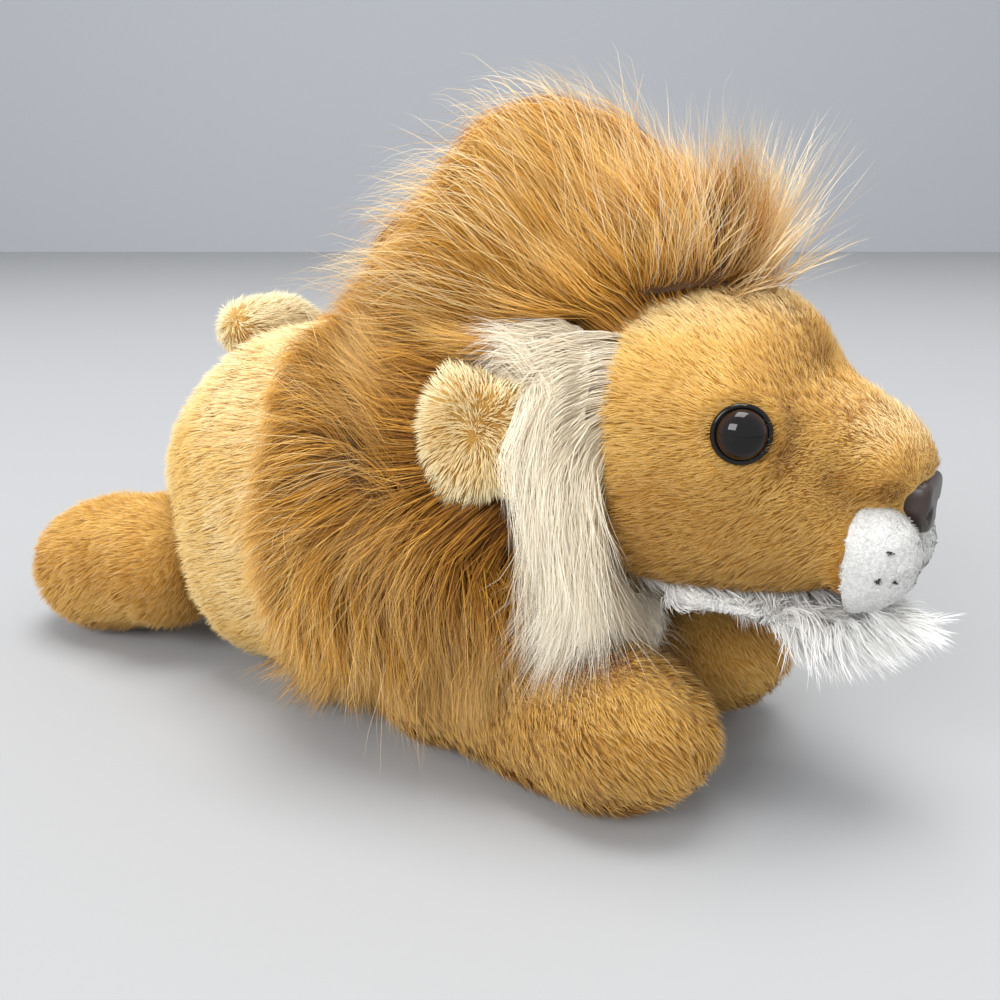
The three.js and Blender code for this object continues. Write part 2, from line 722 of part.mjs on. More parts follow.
function bibSolid() {
  const pad = ellipsoid(
    [torsoFront - bibBehindFront, 0, bibHeight], [bibLength, bibHalfWidth, bibHalfHeight]);
  const torsoGrown = unite(toSolid(stuffedForm(torsoForm, -clearance)), neckBall(clearance));
  return without(pad, torsoGrown, headRoom(0), frontRooms(0), floor(0));
}

const tailGrown = tailSolid(clearance);
const tailPiece = () => without(tailSolid(0), toSolid(stuffedForm(torsoForm, -clearance)));

function tuftSolid() {
  const tangent = tailPath.getTangentAt(1);
  const centre = tailPath.getPointAt(1).addScaledVector(tangent, tuftLength / 2 - tuftOverlap);
  const turn = new THREE.Quaternion().setFromUnitVectors(new THREE.Vector3(0, 0, -1), tangent);
  const tuft = new THREE.SphereGeometry(1, smallSideCount, smallRowCount);
  tuft.scale(tuftRadius, tuftRadius, tuftLength / 2).applyQuaternion(turn).translate(...centre);
  return without(toSolid(tuft), tailGrown, toSolid(stuffedForm(torsoForm, -clearance)));
}

// The whole toy
function torsoGroup() {
  const group = new THREE.Group();
  group.add(toMesh('torso_skin', torsoSkin(), tanPlush));
  group.add(toMesh('torso_stuffing', torsoStuffing(), fibre));
  group.add(toMesh('mane_collar', collarSolid(), brownPile));
  group.add(toMesh('chest_bib', bibSolid(), creamPile));
  return group;
}

function headGroup() {
  const group = new THREE.Group();
  group.add(toMesh('head_skin', headSkin(), tanPlush));
  group.add(toMesh('head_stuffing', headStuffing(), fibre));
  group.add(toMesh('mane_crest', crestSolid(), brownPile));
  group.add(toMesh('beard', beardSolid(), whitePile));
  group.add(toMesh('muzzle_patch', muzzlePatch(), whitePile));
  for (const [name, side] of bothSides) {
    group.add(toMesh(`ruff_${name}`, ruffSolid(side), creamPile));
    group.add(earGroup(`ear_${name}`, side));
    group.add(placed(`eye_${name}`, eyeGeometry(), eyePlastic, eyePlace(side)));
    group.add(placed(`eye_washer_${name}`, washerGeometry(eyeStemRadius), washerPlastic, eyePlace(side)));
  }
  const nose = toMesh('nose', noseSolid(), nosePlastic);
  nose.applyMatrix4(nosePlace);
  group.add(nose);
  group.add(placed('nose_washer', washerGeometry(noseStemRadius), washerPlastic, washerPlace));
  return group;
}

const lion = new THREE.Group();
lion.name = 'plush_lion';
lion.add(torsoGroup(), headGroup());
for (const [name, side] of bothSides) {
  lion.add(limbGroup(`front_leg_${name}`, frontLimb, frontPlace(side)));
  lion.add(limbGroup(`hind_leg_${name}`, hindLimb, hindPlace(side)));
}
lion.add(toMesh('tail', tailPiece(), tanPlush), toMesh('tail_tuft', tuftSolid(), brownPile));

export default lion;
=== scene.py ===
"""A plush lion that lies on its belly: sewn skins, short and long pile, safety eyes and a moulded nose."""

import math

import bpy
import numpy as np
from bpy.props import FloatProperty, FloatVectorProperty, PointerProperty
from mathutils import Matrix, Vector
from mathutils.bvhtree import BVHTree


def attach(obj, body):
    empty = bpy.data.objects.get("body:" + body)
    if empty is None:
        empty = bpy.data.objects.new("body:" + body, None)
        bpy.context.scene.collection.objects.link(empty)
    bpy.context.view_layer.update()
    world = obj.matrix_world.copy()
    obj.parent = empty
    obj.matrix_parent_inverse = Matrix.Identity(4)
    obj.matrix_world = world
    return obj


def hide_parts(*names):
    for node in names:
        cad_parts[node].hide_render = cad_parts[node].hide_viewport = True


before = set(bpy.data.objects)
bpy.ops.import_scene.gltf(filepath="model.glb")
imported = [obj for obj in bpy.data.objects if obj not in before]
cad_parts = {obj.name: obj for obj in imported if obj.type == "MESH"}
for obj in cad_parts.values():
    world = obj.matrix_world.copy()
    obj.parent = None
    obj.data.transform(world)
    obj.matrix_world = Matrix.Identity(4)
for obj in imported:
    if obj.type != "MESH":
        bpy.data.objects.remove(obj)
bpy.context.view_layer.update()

bl_info = {
    "name": "Plush lion",
    "version": (1, 0, 0),
    "blender": (4, 5, 0),
    "location": "View3D > Sidebar > Plush lion",
    "description": "Sews the skins of a plush lion and combs its short and long pile",
    "category": "Object",
}

MM = 0.001
SIDES = (("left", 1), ("right", -1))
SIM_FRAMES = 20
FIBRES_AT_ONCE = 4000
FIBRES_IN_PIECE = 20000

# Tips bend over past these places, within this much room: upwards, and to the right side of the toy.
CEILING, CEILING_ROOM = 0.158, 0.009
WALL, WALL_ROOM = -0.062, 0.008

# How deep roots sit in the cloth, and how high tips and cloth stay over the floor.
ROOT_DEPTH = 0.0006
FLOOR_GAP = 0.0003
CLOTH_GAP = 0.0002


# ---------------------------------------------------------------- settings


class LionSkinSettings(bpy.types.PropertyGroup):
    """Sizes of the stuffed skins"""

    voxel: FloatProperty(
        name="Remesh step", description="Grid size of the stuffed forms", default=0.004, unit="LENGTH")
    tuck: FloatProperty(
        name="Pile allowance", description="How far the cloth lies under the tips of its pile",
        default=0.0022, unit="LENGTH")
    pressure: FloatProperty(name="Pressure", description="Pressure of the stuffing", default=4.0)
    swell: FloatProperty(
        name="Swell", description="Most that the stuffing pushes the cloth out", default=0.0012,
        unit="LENGTH")


class LionPileSettings(bpy.types.PropertyGroup):
    """Lengths and colours of the pile"""

    short_length: FloatProperty(
        name="Short pile", description="Length of the short pile", default=0.0046, unit="LENGTH")
    short_width: FloatProperty(
        name="Short fibre width", description="Width of a lock of short fibres", default=0.00022,
        unit="LENGTH")
    long_width: FloatProperty(
        name="Long fibre width", description="Width of a lock of long fibres", default=0.00020,
        unit="LENGTH")
    crest_length: FloatProperty(
        name="Crest length", description="Length of the mane on the head", default=0.031, unit="LENGTH")
    collar_length: FloatProperty(
        name="Collar length", description="Length of the mane on the shoulders", default=0.026,
        unit="LENGTH")
    neck_length: FloatProperty(
        name="Neck length", description="Length of the mane round the ears", default=0.034, unit="LENGTH")
    ruff_length: FloatProperty(
        name="Ruff length", description="Length of the cream ruff", default=0.042, unit="LENGTH")
    beard_length: FloatProperty(
        name="Beard length", description="Length of the white beard", default=0.0085, unit="LENGTH")
    # The deep colours are the low ends of the tint ramps, reached by random darker locks, by low base tints
    # and by the painted shade that the tint functions lay on.
    tan_dark: FloatVectorProperty(
        name="Tan, deep", description="Tan plush where the pile parts", subtype="COLOR",
        default=(0.470, 0.205, 0.024))
    tan: FloatVectorProperty(
        name="Tan", description="Tan plush", subtype="COLOR", default=(0.800, 0.490, 0.120))
    tan_light: FloatVectorProperty(
        name="Tan, tips", description="Tan plush at its palest", subtype="COLOR",
        default=(0.940, 0.810, 0.500))
    brown_dark: FloatVectorProperty(
        name="Brown, deep", description="Mane in its depths", subtype="COLOR",
        default=(0.240, 0.085, 0.008))
    brown: FloatVectorProperty(
        name="Brown", description="Mane", subtype="COLOR", default=(0.780, 0.390, 0.050))
    brown_light: FloatVectorProperty(
        name="Brown, tips", description="Mane at its palest", subtype="COLOR",
        default=(0.940, 0.690, 0.300))
    cream_dark: FloatVectorProperty(
        name="Cream, deep", description="Ruff in its depths", subtype="COLOR",
        default=(0.800, 0.690, 0.530))
    cream: FloatVectorProperty(
        name="Cream", description="Ruff", subtype="COLOR", default=(0.940, 0.850, 0.660))
    cream_light: FloatVectorProperty(
        name="Cream, tips", description="Ruff at its palest", subtype="COLOR",
        default=(0.970, 0.920, 0.800))
    white: FloatVectorProperty(
        name="White", description="Beard and muzzle", subtype="COLOR", default=(0.900, 0.890, 0.860))


class LionFaceSettings(bpy.types.PropertyGroup):
    """Safety eyes and nose"""

    eye_radius: FloatProperty(
        name="Eye radius", description="Radius of the rim", default=0.0060, unit="LENGTH")
    dome_radius: FloatProperty(
        name="Dome radius", description="Radius of the clear dome", default=0.0050, unit="LENGTH")
    dome_height: FloatProperty(
        name="Dome height", description="Height of the dome over its rim", default=0.0034, unit="LENGTH")
    nose_grain: FloatProperty(
        name="Nose grain", description="Depth of the moulded grain", default=0.00003, unit="LENGTH")


class LionStageSettings(bpy.types.PropertyGroup):
    """Floor, light and camera"""

    floor: FloatVectorProperty(
        name="Floor", description="Colour of the floor", subtype="COLOR", default=(0.41, 0.417, 0.426))
    backdrop: FloatVectorProperty(
        name="Backdrop", description="Colour behind the toy", subtype="COLOR", default=(0.50, 0.52, 0.55))
    camera_azimuth: FloatProperty(
        name="Azimuth", description="Angle of the camera round the toy", default=math.radians(32.0),
        unit="ROTATION")
    camera_elevation: FloatProperty(
        name="Elevation", description="Angle of the camera over the floor", default=math.radians(16.5),
        unit="ROTATION")
    camera_distance: FloatProperty(
        name="Distance", description="Distance from the camera to its target", default=0.270, unit="LENGTH")
    lens: FloatProperty(name="Lens", description="Focal length in millimetres", default=35.57)
    key: FloatProperty(name="Key", description="Strength of the key lamp, in watts", default=41.0)
    fill: FloatProperty(name="Fill", description="Strength of the fill lamp, in watts", default=37.0)


def settings(name):
    return getattr(bpy.context.scene, name)


# ---------------------------------------------------------------- small tools


def deselect():
    if bpy.context.object is not None and bpy.context.object.mode != "OBJECT":
        bpy.ops.object.mode_set(mode="OBJECT")
    bpy.ops.object.select_all(action="DESELECT")


def activate(obj):
    deselect()
    obj.select_set(True)
    bpy.context.view_layer.objects.active = obj


def apply_modifier(obj, kind, **values):
    activate(obj)
    modifier = obj.modifiers.new(kind.title(), kind)
    for key, value in values.items():
        setattr(modifier, key, value)
    bpy.ops.object.modifier_apply(modifier=modifier.name)


def copy_of_nodes(name, *nodes):
    """One new object made of copies of CAD nodes, with their doubles merged."""
    deselect()
    copies = []
    for node in nodes:
        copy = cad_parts[node].copy()
        copy.data = copy.data.copy()
        for key in list(copy.keys()):
            del copy[key]
        copy.parent = None
        copy.hide_render = copy.hide_viewport = False
        bpy.context.scene.collection.objects.link(copy)
        copy.data.materials.clear()
        copies.append(copy)
    for copy in copies:
        copy.select_set(True)
    bpy.context.view_layer.objects.active = copies[0]
    if len(copies) > 1:
        bpy.ops.object.join()
    whole = bpy.context.object
    whole.name = whole.data.name = name
    bpy.ops.object.mode_set(mode="EDIT")
    bpy.ops.mesh.select_all(action="SELECT")
    bpy.ops.mesh.remove_doubles(threshold=1e-6)
    bpy.ops.object.mode_set(mode="OBJECT")
    return whole


# The surfaces of finished skins and the merged copies of CAD nodes, by name.
_surfaces, _copies = {}, {}


def frame_copy(node):
    """A merged copy of a CAD node that only guides the work; it is removed at the end."""
    if node not in _copies:
        _copies[node] = copy_of_nodes(f"guide_{node}", node)
    return _copies[node]


def points_of(mesh):
    points = np.empty(len(mesh.vertices) * 3)
    mesh.vertices.foreach_get("co", points)
    return points.reshape(-1, 3)


def normals_of(mesh):
    normals = np.empty(len(mesh.vertices) * 3)
    mesh.vertex_normals.foreach_get("vector", normals)
    return normals.reshape(-1, 3)


def set_points(mesh, points):
    mesh.vertices.foreach_set("co", np.ascontiguousarray(points, dtype=np.float32).ravel())
    mesh.update()


def unit(vectors):
    return vectors / np.maximum(np.linalg.norm(vectors, axis=-1, keepdims=True), 1e-9)


def smooth(low, high, value):
    share = np.clip((value - low) / (high - low), 0, 1)
    return share * share * (3 - 2 * share)


def drift(points, size, seed):
    """Smooth noise from -1 to 1 over space, with features of a size."""
    cell = points / size
    base = np.floor(cell)
    part = cell - base
    part = part * part * (3 - 2 * part)
    base = base.astype(np.int64)
    total = np.zeros(len(points))
    for corner in range(8):
        step = np.array([corner & 1, corner >> 1 & 1, corner >> 2 & 1])
        key = base + step
        mixed = (key[:, 0] * 73856093) ^ (key[:, 1] * 19349663) ^ (key[:, 2] * 83492791) ^ (seed * 2654435)
        mixed = (mixed * 2654435761) & 0xFFFFFFFF
        mixed = ((mixed ^ (mixed >> 15)) * 2246822519) & 0xFFFFFFFF
        mixed ^= mixed >> 13
        value = mixed / 0x7FFFFFFF - 1
        weight = np.prod(np.where(step == 1, part, 1 - part), axis=1)
        total += value * weight
    return total


def drift_vectors(points, size, seed):
    return np.stack([drift(points, size, seed + axis) for axis in range(3)], axis=1)


class Surface:
    """The triangles of a mesh, or of several together, with a tree that finds the nearest one."""

    def __init__(self, *sources):
        parts, offset = [], 0
        for source in sources:
            if isinstance(source, Surface):
                part = (source.points, source.normals, source.triangles)
            else:
                mesh = source.data
                mesh.calc_loop_triangles()
                corners = np.empty(len(mesh.loop_triangles) * 3, dtype=np.int64)
                mesh.loop_triangles.foreach_get("vertices", corners)
                part = (points_of(mesh), normals_of(mesh), corners.reshape(-1, 3))
            parts.append((part[0], part[1], part[2] + offset))
            offset += len(part[0])
        self.points, self.normals, self.triangles = (np.concatenate(rows) for rows in zip(*parts))
        self.tree = BVHTree.FromPolygons(self.points.tolist(), self.triangles.tolist())

    def scatter(self, per_square_mm, rng, keep):
        """Random points with normals, as many as the area asks for, kept by the chance that keep gives."""
        a, b, c = (self.points[self.triangles[:, k]] for k in range(3))
        areas = np.linalg.norm(np.cross(b - a, c - a), axis=1) / 2
        count = int(areas.sum() / MM**2 * per_square_mm)
        pick = rng.choice(len(areas), size=count, p=areas / areas.sum())
        u, v = np.sqrt(rng.random(count)), rng.random(count)
        shares = np.stack([1 - u, u * (1 - v), u * v], axis=1)[:, :, None]
        corners = self.triangles[pick]
        roots = (self.points[corners] * shares).sum(axis=1)
        normals = unit((self.normals[corners] * shares).sum(axis=1))
        chosen = rng.random(count) < keep(roots, normals)
        return roots[chosen], normals[chosen]

    def nearest(self, points):
        """For each point the nearest surface point and the normal there, and the height over it."""
        feet, normals = np.empty_like(points), np.empty_like(points)
        for index, point in enumerate(points.tolist()):
            foot, _, triangle, _ = self.tree.find_nearest(point)
            feet[index] = foot
            normals[index] = self.normals[self.triangles[triangle]].mean(axis=0)
        normals = unit(normals)
        return feet, normals, ((points - feet) * normals).sum(axis=1)


SLOTS = {
    "tan_plush": ("tan_pile", "tan_cloth"),
    "brown_long_pile": ("brown_pile", "blonde_pile", "brown_cloth"),
    "cream_long_pile": ("cream_pile", "cream_cloth"),
    "white_long_pile": ("white_pile", "looped_pile", "spot_thread", "white_cloth"),
}


def ride_on(obj, body, slot, *nodes):
    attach(obj, body)
    if nodes:
        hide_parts(*nodes)


def slot_of(finish_name):
    """The slot that a pile or a cloth belongs to."""
    return next(slot for slot, names in SLOTS.items() if finish_name in names)


def fit(obj, cloth, body, *nodes, padding=0.0):
    """Makes a cloth of a form: gives it its finish and body, and hides the nodes that it replaces. Its
    padding, the softness, is not used.
    """
    dress(obj, finish(cloth))
    ride_on(obj, body, slot_of(cloth), *nodes)


# ---------------------------------------------------------------- materials


def new_material(name):
    material = bpy.data.materials.new(name)
    material.use_nodes = True
    tree = material.node_tree
    tree.nodes.clear()
    output = tree.nodes.new("ShaderNodeOutputMaterial")
    shader = tree.nodes.new("ShaderNodeBsdfPrincipled")
    tree.links.new(shader.outputs[0], output.inputs[0])
    return material, tree, shader


def ramp(tree, factor, *stops):
    node = tree.nodes.new("ShaderNodeValToRGB")
    node.color_ramp.interpolation = "B_SPLINE" if len(stops) > 3 else "LINEAR"
    while len(node.color_ramp.elements) < len(stops):
        node.color_ramp.elements.new(0.5)
    for element, (position, colour) in zip(node.color_ramp.elements, stops):
        element.position = position
        element.color = (*colour, 1)
    tree.links.new(factor, node.inputs[0])
    return node.outputs[0]


def mix(tree, blend, factor, first, second):
    node = tree.nodes.new("ShaderNodeMix")
    node.data_type = "RGBA"
    node.blend_type = blend
    for socket, value in ((node.inputs[0], factor), (node.inputs[6], first), (node.inputs[7], second)):
        if isinstance(value, bpy.types.NodeSocket):
            tree.links.new(value, socket)
        else:
            socket.default_value = value if isinstance(value, float) else (*value, 1)
    return node.outputs[2]


def noise(tree, vector, scale, detail, rough=0.55):
    node = tree.nodes.new("ShaderNodeTexNoise")
    node.inputs["Scale"].default_value = scale
    node.inputs["Detail"].default_value = detail
    node.inputs["Roughness"].default_value = rough
    tree.links.new(vector, node.inputs["Vector"])
    return node.outputs[0]


def object_place(tree):
    return tree.nodes.new("ShaderNodeTexCoord").outputs["Object"]


def bump(tree, shader, height, distance):
    node = tree.nodes.new("ShaderNodeBump")
    node.inputs["Distance"].default_value = distance
    tree.links.new(height, node.inputs["Height"])
    tree.links.new(node.outputs[0], shader.inputs["Normal"])


def pile_material(name, dark, middle, light, root, tip, tip_share, roughness=0.65, sheen=0.03,
                  specular=0.1):
    """Fibres: the map's first axis is the tint of a lock and its second axis runs from root to tip."""
    material, tree, shader = new_material(name)
    place = tree.nodes.new("ShaderNodeUVMap")
    place.uv_map = "OFBake"
    parts = tree.nodes.new("ShaderNodeSeparateXYZ")
    tree.links.new(place.outputs[0], parts.inputs[0])
    tint = ramp(tree, parts.outputs[0], (0.0, dark), (0.5, middle), (1.0, light))
    # Towards its root each fibre is multiplied by the root colour: partly the fibre's own deeper tone,
    # partly painted shade down in the pile.
    shade = ramp(tree, parts.outputs[1], (0.0, root), (0.6, (1.0,) * 3))
    end = ramp(tree, parts.outputs[1], (0.55, (0.0,) * 3), (1.0, (tip_share,) * 3))
    body = mix(tree, "MULTIPLY", 1.0, tint, shade)
    tree.links.new(mix(tree, "MIX", end, body, tip), shader.inputs["Base Color"])
    shader.inputs["Roughness"].default_value = roughness
    shader.inputs["Specular IOR Level"].default_value = specular
    shader.inputs["Sheen Weight"].default_value = sheen
    shader.inputs["Sheen Roughness"].default_value = 0.5
    return material


def backing_material(name, dark, light):
    """The cloth under a pile: mottled, with the ends of the fibres as a fine bump."""
    material, tree, shader = new_material(name)
    place = object_place(tree)
    patches = noise(tree, place, 90, 2)
    fibres = noise(tree, place, 1500, 4, 0.7)
    mottle = ramp(tree, patches, (0.3, dark), (0.7, light))
    fleck = ramp(tree, fibres, (0.25, (0.6,) * 3), (0.75, (1.15,) * 3))
    tree.links.new(mix(tree, "MULTIPLY", 1.0, mottle, fleck), shader.inputs["Base Color"])
    shader.inputs["Roughness"].default_value = 0.95
    shader.inputs["Specular IOR Level"].default_value = 0.1
    shader.inputs["Sheen Weight"].default_value = 0.3
    bump(tree, shader, fibres, 0.0006)
    return material


_materials = {}


def finish(name):
    """The materials of the toy, each made once."""
    if name in _materials:
        return _materials[name]
    pile = settings("lion_pile")
    tan_dark, tan, tan_light = (tuple(c) for c in (pile.tan_dark, pile.tan, pile.tan_light))
    brown_dark, brown, brown_light = (tuple(c) for c in (pile.brown_dark, pile.brown, pile.brown_light))
    cream_dark, cream, cream_light = (tuple(c) for c in (pile.cream_dark, pile.cream, pile.cream_light))
    white = tuple(pile.white)
    # A pile lists its maker and name, its deep, middle and pale tint, its root colour, its tip colour and
    # tip share, then roughness, sheen and specular where given; the root colour is partly the fibre's own
    # deeper tone and partly painted shade in the pile. A cloth lists its maker, its name and two mottle
    # colours.
    makers = {
        "tan_pile": (pile_material, "tan_short_pile", tan_dark, tan, tan_light, (0.84, 0.72, 0.54),
                     tan_light, 0.35),
        "brown_pile": (pile_material, "brown_long_pile", brown_dark, brown, brown_light, (0.46, 0.36, 0.27),
                       brown_light, 0.5, 0.5, 0.02, 0.15),
        "blonde_pile": (pile_material, "blonde_stray_pile", brown, brown_light, (0.9, 0.78, 0.6),
                        (0.45, 0.32, 0.2), (0.92, 0.82, 0.66), 0.7, 0.45, 0.03, 0.25),
        "cream_pile": (pile_material, "cream_long_pile", cream_dark, cream, cream_light, (0.84, 0.77, 0.68),
                       cream_light, 0.5, 0.5, 0.05, 0.2),
        "white_pile": (pile_material, "white_long_pile", (0.80, 0.78, 0.74), white, (0.97, 0.965, 0.95),
                       (0.98, 0.975, 0.96), white, 0.3, 0.55, 0.30),
        "looped_pile": (pile_material, "white_looped_pile", (0.62, 0.615, 0.59), (0.73, 0.725, 0.70),
                        (0.83, 0.825, 0.80), (0.88,) * 3, (0.86, 0.855, 0.83), 0.3),
        "spot_thread": (pile_material, "spot_thread", (0.02,) * 3, (0.05,) * 3, (0.09, 0.09, 0.1),
                        (1.0,) * 3, (0.05,) * 3, 0.2),
        "tan_cloth": (backing_material, "tan_backing", tan_dark, tan),
        "brown_cloth": (backing_material, "brown_backing", (0.10, 0.042, 0.010), (0.24, 0.11, 0.025)),
        "cream_cloth": (backing_material, "cream_backing", cream_dark, cream),
        "white_cloth": (backing_material, "white_backing", (0.84, 0.83, 0.80), (0.93, 0.92, 0.90)),
    }
    make, *values = makers[name]
    _materials[name] = make(*values)
    return _materials[name]


def dress(obj, material):
    obj.data.materials.clear()
    obj.data.materials.append(material)


# ---------------------------------------------------------------- stuffed forms


def line_with(obj, material, chosen):
    """Gives the faces that a test picks, by their centres, one more material."""
    obj.data.materials.append(material)
    faces = obj.data.polygons
    centres, slots = np.empty(len(faces) * 3), np.empty(len(faces), dtype=np.int32)
    faces.foreach_get("center", centres)
    faces.foreach_get("material_index", slots)
    slots[chosen(centres.reshape(-1, 3))] = len(obj.data.materials) - 1
    faces.foreach_set("material_index", slots)


def shade_smooth(obj):
    obj.data.polygons.foreach_set("use_smooth", np.ones(len(obj.data.polygons), dtype=bool))
    obj.data.update()


def stuffed(name, nodes, tuck, voxel, sculpt=None, floor=None):
    """Cloth blown up by its filling: the nodes' whole form, drawn in and swelled again under pressure."""
    skin = settings("lion_skin")
    obj = copy_of_nodes(name, *nodes)
    apply_modifier(obj, "REMESH", mode="VOXEL", voxel_size=voxel)
    apply_modifier(obj, "SMOOTH", factor=0.5, iterations=3)
    mesh = obj.data
    points = points_of(mesh) - normals_of(mesh) * tuck
    set_points(mesh, points)
    start = points_of(mesh)
    activate(obj)
    cloth = obj.modifiers.new("Cloth", "CLOTH")
    for key, value in (
            ("quality", 4), ("mass", 0.2), ("tension_stiffness", 12), ("compression_stiffness", 12),
            ("bending_stiffness", 0.4), ("use_pressure", True),
            ("uniform_pressure_force", skin.pressure)):
        setattr(cloth.settings, key, value)
    cloth.settings.effector_weights.gravity = 0
    cloth.collision_settings.use_collision = False
    cloth.collision_settings.use_self_collision = False
    cloth.point_cache.frame_start = 1
    cloth.point_cache.frame_end = SIM_FRAMES
    for step in range(1, SIM_FRAMES + 1):
        bpy.context.scene.frame_set(step)
    bpy.ops.object.modifier_apply(modifier=cloth.name)
    bpy.context.scene.frame_set(1)
    moved = points_of(mesh) - start
    length = np.linalg.norm(moved, axis=1, keepdims=True)
    set_points(mesh, start + moved * np.minimum(1, skin.swell / np.maximum(length, 1e-9)))
    apply_modifier(obj, "SUBSURF", levels=1, render_levels=1)
    points = points_of(mesh)
    if sculpt is not None:
        points = sculpt(points, normals_of(mesh))
    if floor is not None:
        points[:, 2] = np.maximum(points[:, 2], floor)
    set_points(mesh, points)
    shade_smooth(obj)
    return obj


def cover(obj, clearance, *nodes):
    """Lifts a skin over CAD fittings under it that would show through."""
    surface, mesh, reach, spread = Surface(obj), obj.data, 0.004, 0.0035
    points, normals = points_of(mesh), normals_of(mesh)
    lift = np.zeros(len(points))
    for node in nodes:
        solid = points_of(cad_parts[node].data)
        feet, _, height = surface.nearest(solid)
        close = (height > -clearance) & (np.linalg.norm(solid - feet, axis=1) < reach)
        for foot, rise in zip(feet[close], height[close] + clearance):
            away = np.linalg.norm(points - foot, axis=1) / spread
            lift = np.maximum(lift, rise * np.exp(-(away**2)))
    set_points(mesh, points + normals * lift[:, None])


def pressed(points, normals, *dents):
    """Moves points along their normals. Dents have a centre, a radius on each axis and a depth, in mm."""
    moved = points.copy()
    for centre, radii, depth in dents:
        for side in (1, -1):
            place = np.array([centre[0], side * centre[1], centre[2]]) * MM
            away = np.linalg.norm((points - place) / (np.array(radii) * MM), axis=1)
            moved -= normals * (depth * MM * np.exp(-(away**2)))[:, None]
            if centre[1] == 0:
                break
    return moved


# ---------------------------------------------------------------- pile


def strands(name, paths, half_widths, sides, tints, material, ups, softness):
    """Fibres as tapered ribbons. paths has a row of points for each fibre; the last one is its tip.

    Ribbons turn their faces the way the skin does, and take the skin's own normals by a share, so that
    light falls on a pile as on a soft surface. Tips that would rise past the toy's height or reach past its
    side bend over there.
    """
    count, stations, _ = paths.shape
    spans = stations - 1
    along = unit(paths[:, -1] - paths[:, 0])
    faces = np.cross(sides, along)
    sides = np.where((faces * ups).sum(axis=1, keepdims=True) < 0, -sides, sides)
    faces = np.cross(sides, along)
    each = 2 * spans + 1
    points = np.empty((count, each, 3), dtype=np.float32)
    across = sides[:, None, :] * half_widths[:, :, None]
    points[:, 0:2 * spans:2] = paths[:, :spans] - across
    points[:, 1:2 * spans:2] = paths[:, :spans] + across
    points[:, -1] = paths[:, -1]
    height, side = points[:, :, 2], points[:, :, 1]
    bent = CEILING + CEILING_ROOM * np.tanh((height - CEILING) / CEILING_ROOM)
    points[:, :, 2] = np.where(height > CEILING, bent, np.maximum(height, FLOOR_GAP))
    bent = WALL + WALL_ROOM * np.tanh((side - WALL) / WALL_ROOM)
    points[:, :, 1] = np.where(side < WALL, bent, side)
    quads = [[2 * k, 2 * k + 1, 2 * k + 3, 2 * k + 2] for k in range(spans - 1)]
    pattern = np.array([corner for quad in quads for corner in quad] + [each - 3, each - 2, each - 1])
    loops = (np.arange(count)[:, None] * each + pattern[None]).ravel()
    starts = (np.arange(count)[:, None] * len(pattern) + 4 * np.arange(spans)[None]).ravel()
    mesh = bpy.data.meshes.new(name)
    mesh.vertices.add(count * each)
    mesh.vertices.foreach_set("co", points.ravel())
    mesh.loops.add(len(loops))
    mesh.loops.foreach_set("vertex_index", loops.astype(np.int32))
    mesh.polygons.add(len(starts))
    mesh.polygons.foreach_set("loop_start", starts.astype(np.int32))
    mesh.polygons.foreach_set("use_smooth", np.ones(len(starts), dtype=bool))
    mesh.update(calc_edges=True)
    half_lock = 0.004
    offsets = np.array([-half_lock, half_lock] * spans + [0.0])[pattern]
    rises = np.array([k // 2 / spans for k in range(2 * spans)] + [1.0])[pattern]
    tints = np.clip(tints, 0.01, 0.99)
    layer = mesh.uv_layers.new(name="OFBake")
    rises = np.broadcast_to(0.01 + 0.98 * rises, (count, len(pattern)))
    uv = np.stack([tints[:, None] + offsets[None], rises], axis=2)
    layer.uv.foreach_set("vector", uv.astype(np.float32).ravel())
    mesh.materials.append(material)
    if softness > 0:
        soft = unit(faces * (1 - softness) + ups * softness)
        normals = mesh.attributes.new("custom_normal", "FLOAT_VECTOR", "POINT")
        normals.data.foreach_set("vector", np.repeat(soft, each, axis=0).astype(np.float32).ravel())
    obj = bpy.data.objects.new(name, mesh)
    bpy.context.scene.collection.objects.link(obj)
    return obj


def ribbon_sides(tangents, normals, rng, twist):
    """Directions across the fibres, lying along the skin but for a random twist."""
    across = unit(np.cross(tangents, normals) + 1e-6)
    angle = rng.uniform(-twist, twist, len(across))[:, None]
    up = unit(np.cross(across, tangents))
    return across * np.cos(angle) + up * np.sin(angle)


def short_pile(name, surface, body, finish_name, seed, density, length, flow, tint, keep,
               lift=32.0, width=None, tangle=0.35):
    """Short fibres that lean the way the cloth is combed."""
    rng = np.random.default_rng(seed)
    width = width or settings("lion_pile").short_width
    roots, normals = surface.scatter(density, rng, keep)
    count = len(roots)
    lay = (flow(roots, normals) + tangle * drift_vectors(roots, 0.011, seed)
           + 0.45 * tangle * drift_vectors(roots, 0.004, seed + 5) + 0.12 * rng.normal(size=(count, 3)))
    lay = unit(lay - normals * (lay * normals).sum(axis=1, keepdims=True))
    reach = (length(roots) if callable(length) else length) * rng.uniform(0.72, 1.12, count)
    reach = reach[:, None]
    tilt = np.radians(lift + 9 * drift(roots, 0.007, seed + 9) + rng.normal(0, 6, count))[:, None]
    start = roots - normals * 0.0004
    middle = start + reach * 0.52 * (lay * np.cos(tilt * 1.25) + normals * np.sin(tilt * 1.25))
    tip = middle + reach * 0.52 * (lay * np.cos(tilt * 0.55) + normals * np.sin(tilt * 0.55))
    lock = drift_vectors(roots, 0.0022, seed + 20)
    middle = middle + lock * reach * 0.07
    tip = tip + lock * reach * 0.2
    paths = np.stack([start, middle, tip], axis=1)
    sides = ribbon_sides(lay, normals, rng, 0.75)
    taper = np.array([1.0, 0.85])[None] * width / 2 * rng.uniform(0.7, 1.3, count)[:, None]
    tints = tint(roots, normals, rng)
    obj = strands(name, paths, taper, sides, tints, finish(finish_name), normals, 0.85)
    ride_on(obj, body, slot_of(finish_name))


